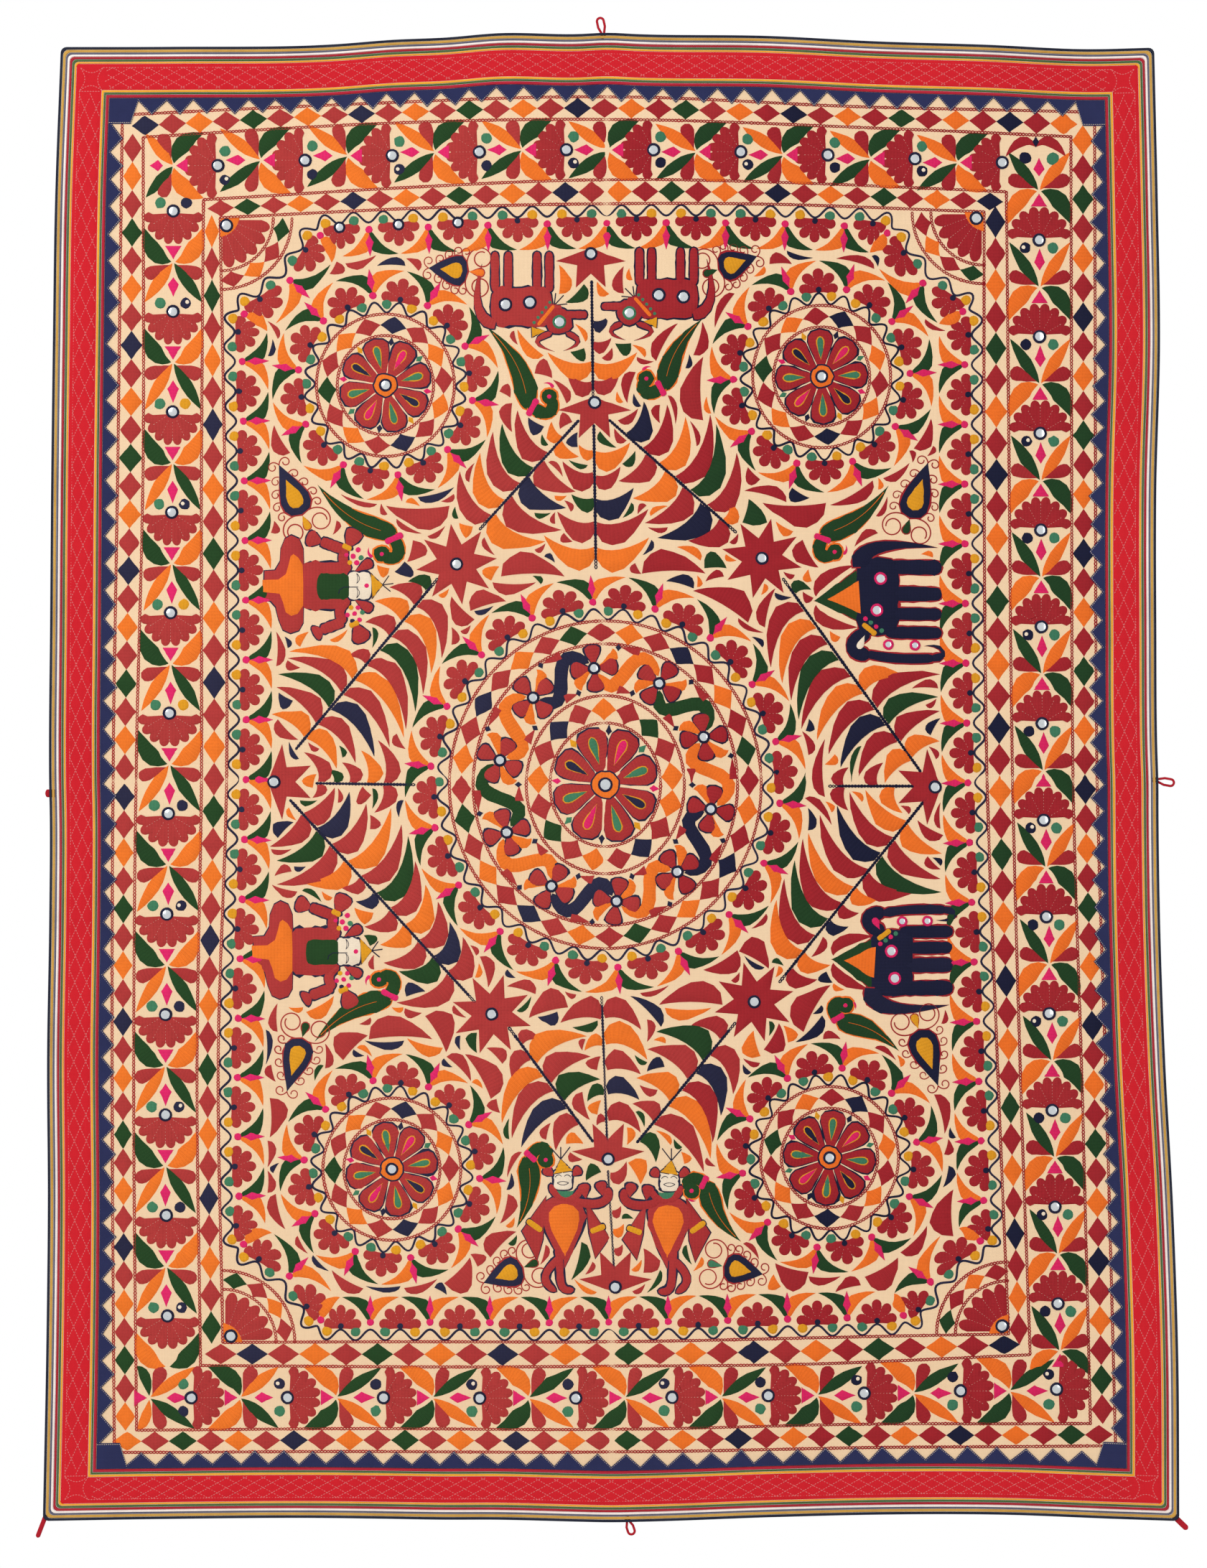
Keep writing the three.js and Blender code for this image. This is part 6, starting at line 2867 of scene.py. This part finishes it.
@dataclass
class SawtoothBand:
    """The navy band folded into points along the inner side, with a block in each corner."""

    # side: width of the band, how far the points rise from it, how many there are
    sides = {TOP: (3.6, 19.5, 34), BOTTOM: (5.0, 18.0, 34), LEFT: (5.0, 17.0, 48), RIGHT: (5.0, 17.0, 48)}
    block_along: float = 32.0
    block_in: float = 36.0
    flank: float = 9.5
    gap: float = 0.3
    inset: float = 0.2
    # how uneven the points' places and rises and the band's width are
    uneven: tuple[float, ...] = (0.9, 0.8, 0.5)
    low: float = 2.5
    high: float = 3.3
    # from the straight edge to the folded one: share of the way, how far front and back fall there
    rows = np.array([0, 0.3, 0.6, 0.85, 0.96, 1.0])[:, None]
    front_fall = np.array([0, 0, 0, 0.05, 0.3, 0.75])[:, None]
    back_fall = 0.6 * (rows < 0.1)
    # how far from the folded edge the stitches lie, and at least from the straight one
    hem: float = 1.7
    least_hem: float = 2
    # height, pitch, half width and dye of a stitch
    stitch: tuple[float, ...] = (high - 0.12, 3.0, 0.42, 0.0)
    finish: CottonFinish = CottonFinish("navy_cotton", (46, 50, 88), (36, 38, 66), patch=0.2)

    def profile(self, lane: SideMap, rng: np.random.Generator) -> tuple[Array, Array]:
        """The folded edge: block, then valley, tip, valley and so on, and a block again.

        Args:
            lane: The side.
            rng: Makes the points uneven.

        Returns:
            Places along the side, and how far in the edge reaches there.
        """
        level = lane.side.level
        band, rise, teeth = self.sides[lane.side]
        block = PANEL_EDGE + self.block_along if level else PANEL_EDGE + self.block_in + self.gap
        first = block + self.flank if level else block
        count = 2 * teeth + 1
        at = np.linspace(first, lane.length - first, count)
        tips = np.arange(count) % 2
        place, tip, width = self.uneven
        at[1:-1] += rng.normal(0, place, count - 2)
        reach = band + tips * (rise + rng.normal(0, tip, count)) + rng.normal(0, width, count)
        if level:
            ends = np.array([PANEL_EDGE + self.gap, block])
            at = np.concatenate([ends, at, lane.length - ends[::-1]])
            reach = np.concatenate([[self.block_in] * 2, reach, [self.block_in] * 2])
        return at, reach

    def build(self, form: ClothForm, work: Embroidery) -> None:
        """Builds four bands and lays the pale stitches that hold their edges down.

        Args:
            form: Gives the cloth's size and folds.
            work: Takes the stitches.
        """
        for side in Side:
            lane = SideMap(form, side)
            at, reach = self.profile(lane, work.rng)
            parts = ((at[:-1] + (at[1:] - at[:-1]) * share) for share in (0.25, 0.5, 0.75))
            fine = np.sort(np.concatenate([at, *parts]))
            edge = np.interp(fine, at, reach)
            inward = PANEL_EDGE + self.inset + self.rows * edge
            along = np.broadcast_to(fine, inward.shape)
            low, high = self.low - self.back_fall, self.high - self.front_fall
            sheet = slab(form, *lane.flat(along, inward), low, high)
            piece = sheet.build(f"navy_sawtooth_{side.value}", self.finish, "navy_cotton")
            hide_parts(f"sawtooth_{side.value}")
            area = float(((edge[1:] + edge[:-1]) / 2 * np.diff(fine)).sum())
            width = self.block_in if side.level else sum(self.sides[side][:2])
            width * MM
            float(at[-1] - at[0]) * MM
            hem = lane.spot(fine, PANEL_EDGE + np.maximum(edge - self.hem, self.least_hem))
            work.running("sawtooth_stitches", hem, *self.stitch)


@dataclass(frozen=True)
class Hanger:
    """A loop or tab of folded red tape sewn behind the edge.

    right and below say where it leaves the edge, seen from the origin, lean how far it is turned clockwise
    from straight up, in degrees, reach how far it stands out, and eye how wide a loop's opening is.
    """

    name: str
    right: float
    below: float
    lean: float
    reach: float
    width: float = 3.4
    eye: float = 0.0

    tuck: float = 8.0
    thickness: float = 2.2
    gap: float = 0.3
    tab_turns = np.radians([20, 45, 65, 80, 88])
    # share of the half width across, share of the thickness
    section = np.array([(-1, 0.75), (-0.8, 0.25), (0, 0), (0.8, 0.25), (1, 0.75), (0, 1.0)])

    def line(self) -> tuple[Array, Array]:
        """A loop goes up one leg, round its eye and down the other; a tab is straight, with a round end.

        Returns:
            The tape's middle line, away from the edge, and its half width there.
        """
        if not self.eye:
            turn = min(self.width / 2, self.reach / 2)
            straight = self.reach - turn
            rise = np.concatenate([[-self.tuck, 0, straight], straight + turn * np.sin(self.tab_turns)])
            half = self.width / 2 * np.concatenate([[1, 1, 1], np.cos(self.tab_turns)])
            return np.stack([0 * rise, rise], -1), half
        turn = (self.eye + self.width) / 2
        rise = self.reach - self.width / 2 - turn
        foot = self.width / 2 + self.gap
        arc = np.array([0, rise]) + turn * circle(np.radians(np.linspace(180, 0, 13)))
        legs = np.array([(foot, -self.tuck), (foot, self.gap), (turn, rise / 2)])
        line = np.concatenate([legs * (-1, 1), arc, legs[::-1]])
        return line, np.full(len(line), self.width / 2)

    def build(self, form: ClothForm, finish: CottonFinish) -> bpy.types.Object:
        """A rounded section carried along the line, just behind the cloth's back.

        Args:
            form: Gives the cloth's folds.
            finish: The tape's cotton.

        Returns:
            The finished piece.
        """
        line, half = self.line()
        aside = turned(unit(np.gradient(line, axis=0)))
        flat = line[:, None] + aside[:, None] * (half[:, None] * self.section[:, 0])[..., None]
        steps = np.array([-self.tuck, 0, self.tuck])
        grid = np.stack(np.meshgrid(steps, steps), -1).reshape(-1, 2)
        spots = grid + np.array([self.right + form.middle, self.below + form.edge])
        across, down = form.flat_place(spots)
        depth = form.off_wall(np.clip(across, 0, form.width), np.clip(down, 0, form.height)).min()
        lean = math.radians(self.lean)
        right = self.right + flat[..., 0] * math.cos(lean) + flat[..., 1] * math.sin(lean)
        up = -self.below - flat[..., 0] * math.sin(lean) + flat[..., 1] * math.cos(lean)
        back = -depth + self.gap + np.broadcast_to(self.section[:, 1], right.shape) * self.thickness
        points = np.stack([right, back, up], -1).reshape(1, -1, 3) * MM
        mesher = Mesher()
        mesher.add(points, capped_faces(len(line), len(self.section)))
        made = mesher.build(f"{self.name}_tape", finish, "red_tape")
        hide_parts(self.name)
        return made


HANGERS = (
    Hanger("loop_top", -1, -2, -12, 23, eye=6.0),
    Hanger("loop_right", 772.2, 1039, 100, 24, eye=6.0),
    Hanger("loop_bottom", 34.5, 2071.3, 162, 20, eye=6.0),
    Hanger("tab_left", -771.4, 1057, -90, 6, 11),
    Hanger("tab_bottom_left", -779, 2069, 201, 26, 6.5),
    Hanger("tab_bottom_right", 800, 2069, 134, 18, 8),
)


@dataclass
class Field:
    """Everything stitched inside the innermost line and the bands outside it."""

    fan_radius: float = 108.0
    # units of the row of arches, where the first is, which have mirrors, and the step of their line
    arch_units: int = 60
    arch_start: float = 0.6
    arch_mirrors: tuple[int, ...] = (0, 1, 2)
    arch_step: int = 4
    smooth: int = 20
    # in order round the cloth: side, step along it, which of its ends comes last, angle of the arc there
    arch_sides: tuple[tuple[Side, int, int, float], ...] = (
        (TOP, 1, -1, 180), (RIGHT, 1, -1, 270), (BOTTOM, -1, 0, 0), (LEFT, -1, 0, 90))
    # corner of each fan and the way its first edge runs
    fans: tuple[tuple[Spot, Spot], ...] = (
        ((307, 304), (1, 0)), ((1370, 296), (0, 1)), ((1404, 1857), (-1, 0)), ((311, 1869), (0, -1)))
    # how far round the medallions and the fans no leaf is filled in
    medallion_room: float = 28
    fan_room: float = 150.0
    # side, first and last middle, how many diamonds, start in the colour cycle
    outer_diamonds: tuple[tuple[Side, float, float, int, int], ...] = (
        (TOP, 203, 1481, 35, 0), (LEFT, 207, 1972, 46, 1),
        (RIGHT, 196, 1962, 44, 2), (BOTTOM, 178, 1530, 36, 2))
    inner_diamonds: tuple[tuple[Side, float, float, int, int], ...] = (
        (TOP, 308, 1378, 30, 3), (LEFT, 323, 1848, 35, 2),
        (RIGHT, 310, 1850, 36, 0), (BOTTOM, 308, 1398, 26, 7))

    def arch_path(self) -> Array:
        """The innermost line with each corner cut off by a quarter circle, smoothed by a running mean.

        Returns:
            Draft points, clockwise from the top left.
        """
        line, r = FRAME_LINES[3], self.fan_radius
        quarter = np.linspace(0, 90, 40)
        runs = []
        for side, back, end, start in self.arch_sides:
            first, last = line.span(side)
            runs.append(line.points(side, first + r, last - r, self.arch_step)[::back])
            corner = line.points(side, first, last, last - first)[end]
            runs.append(np.stack([corner + polar(start - angle, r) for angle in quarter]))
        loop = np.concatenate(runs)
        padded = np.concatenate([loop[-self.smooth:], loop, loop[:self.smooth]])
        kernel = np.hanning(2 * self.smooth + 1)
        kernel = kernel / kernel.sum()
        return np.stack([np.convolve(padded[:, k], kernel, "valid") for k in range(2)], -1)

    def stitch(self, work: Embroidery) -> None:
        """Lays lines, bands, fans, medallions, stars and figures, then leaves where there is room.

        Args:
            work: Takes the shapes.
        """
        one, two, three, four = FRAME_LINES
        for piece, lines in (("maroon_chain_outer", (one, two)), ("maroon_chain_inner", (three, four))):
            for line in lines:
                work.chain(piece, MAROON, line.path())
        rows = (DiamondBand(one, two, self.outer_diamonds), DiamondBand(three, four, self.inner_diamonds),
                FlowerBand(two, three))
        path = ClosedPath(self.arch_path(), self.arch_units)
        arches = ArchRow(path, self.arch_start, self.arch_mirrors)
        for motif in (*rows, arches, *(CornerFan(*fan) for fan in self.fans)):
            motif.stitch(work)
        for stem in STEMS:
            stem.lay(work)
        for motif in (*MEDALLIONS, VineRing(), *STARS, *FIGURES):
            motif.stitch(work)
        for star in STARS:
            star.leaves(work)
        rounds = (*((m.middle, m.circles[-1][0] + self.medallion_room) for m in MEDALLIONS),
                  *((corner, self.fan_room) for corner, _ in self.fans))
        for growth in (*STEMS, LeafFill(four, rounds)):
            growth.stitch(work)


def main() -> None:
    """Builds every piece in order and reports it."""
    logging.basicConfig(level=logging.INFO, format="%(message)s")
    form = ClothForm()
    work = Embroidery(form)
    Studio().build()
    ground = GroundSheet().build(form)
    strips = EdgeStrips().build(form)
    RedBorder().build(form, work)
    SawtoothBand().build(form, work)
    tape = CottonFinish("red_tape", (186, 34, 48), (140, 24, 36), patch=0.3)
    hangers = [hanger.build(form, tape) for hanger in HANGERS]
    Field().stitch(work)
    sewn = work.build()
    inner_width, inner_height = form.width - 2 * PANEL_EDGE, form.height - 2 * PANEL_EDGE
    inner_width * MM
    inner_height * MM


if __name__ == "__main__":
    main()
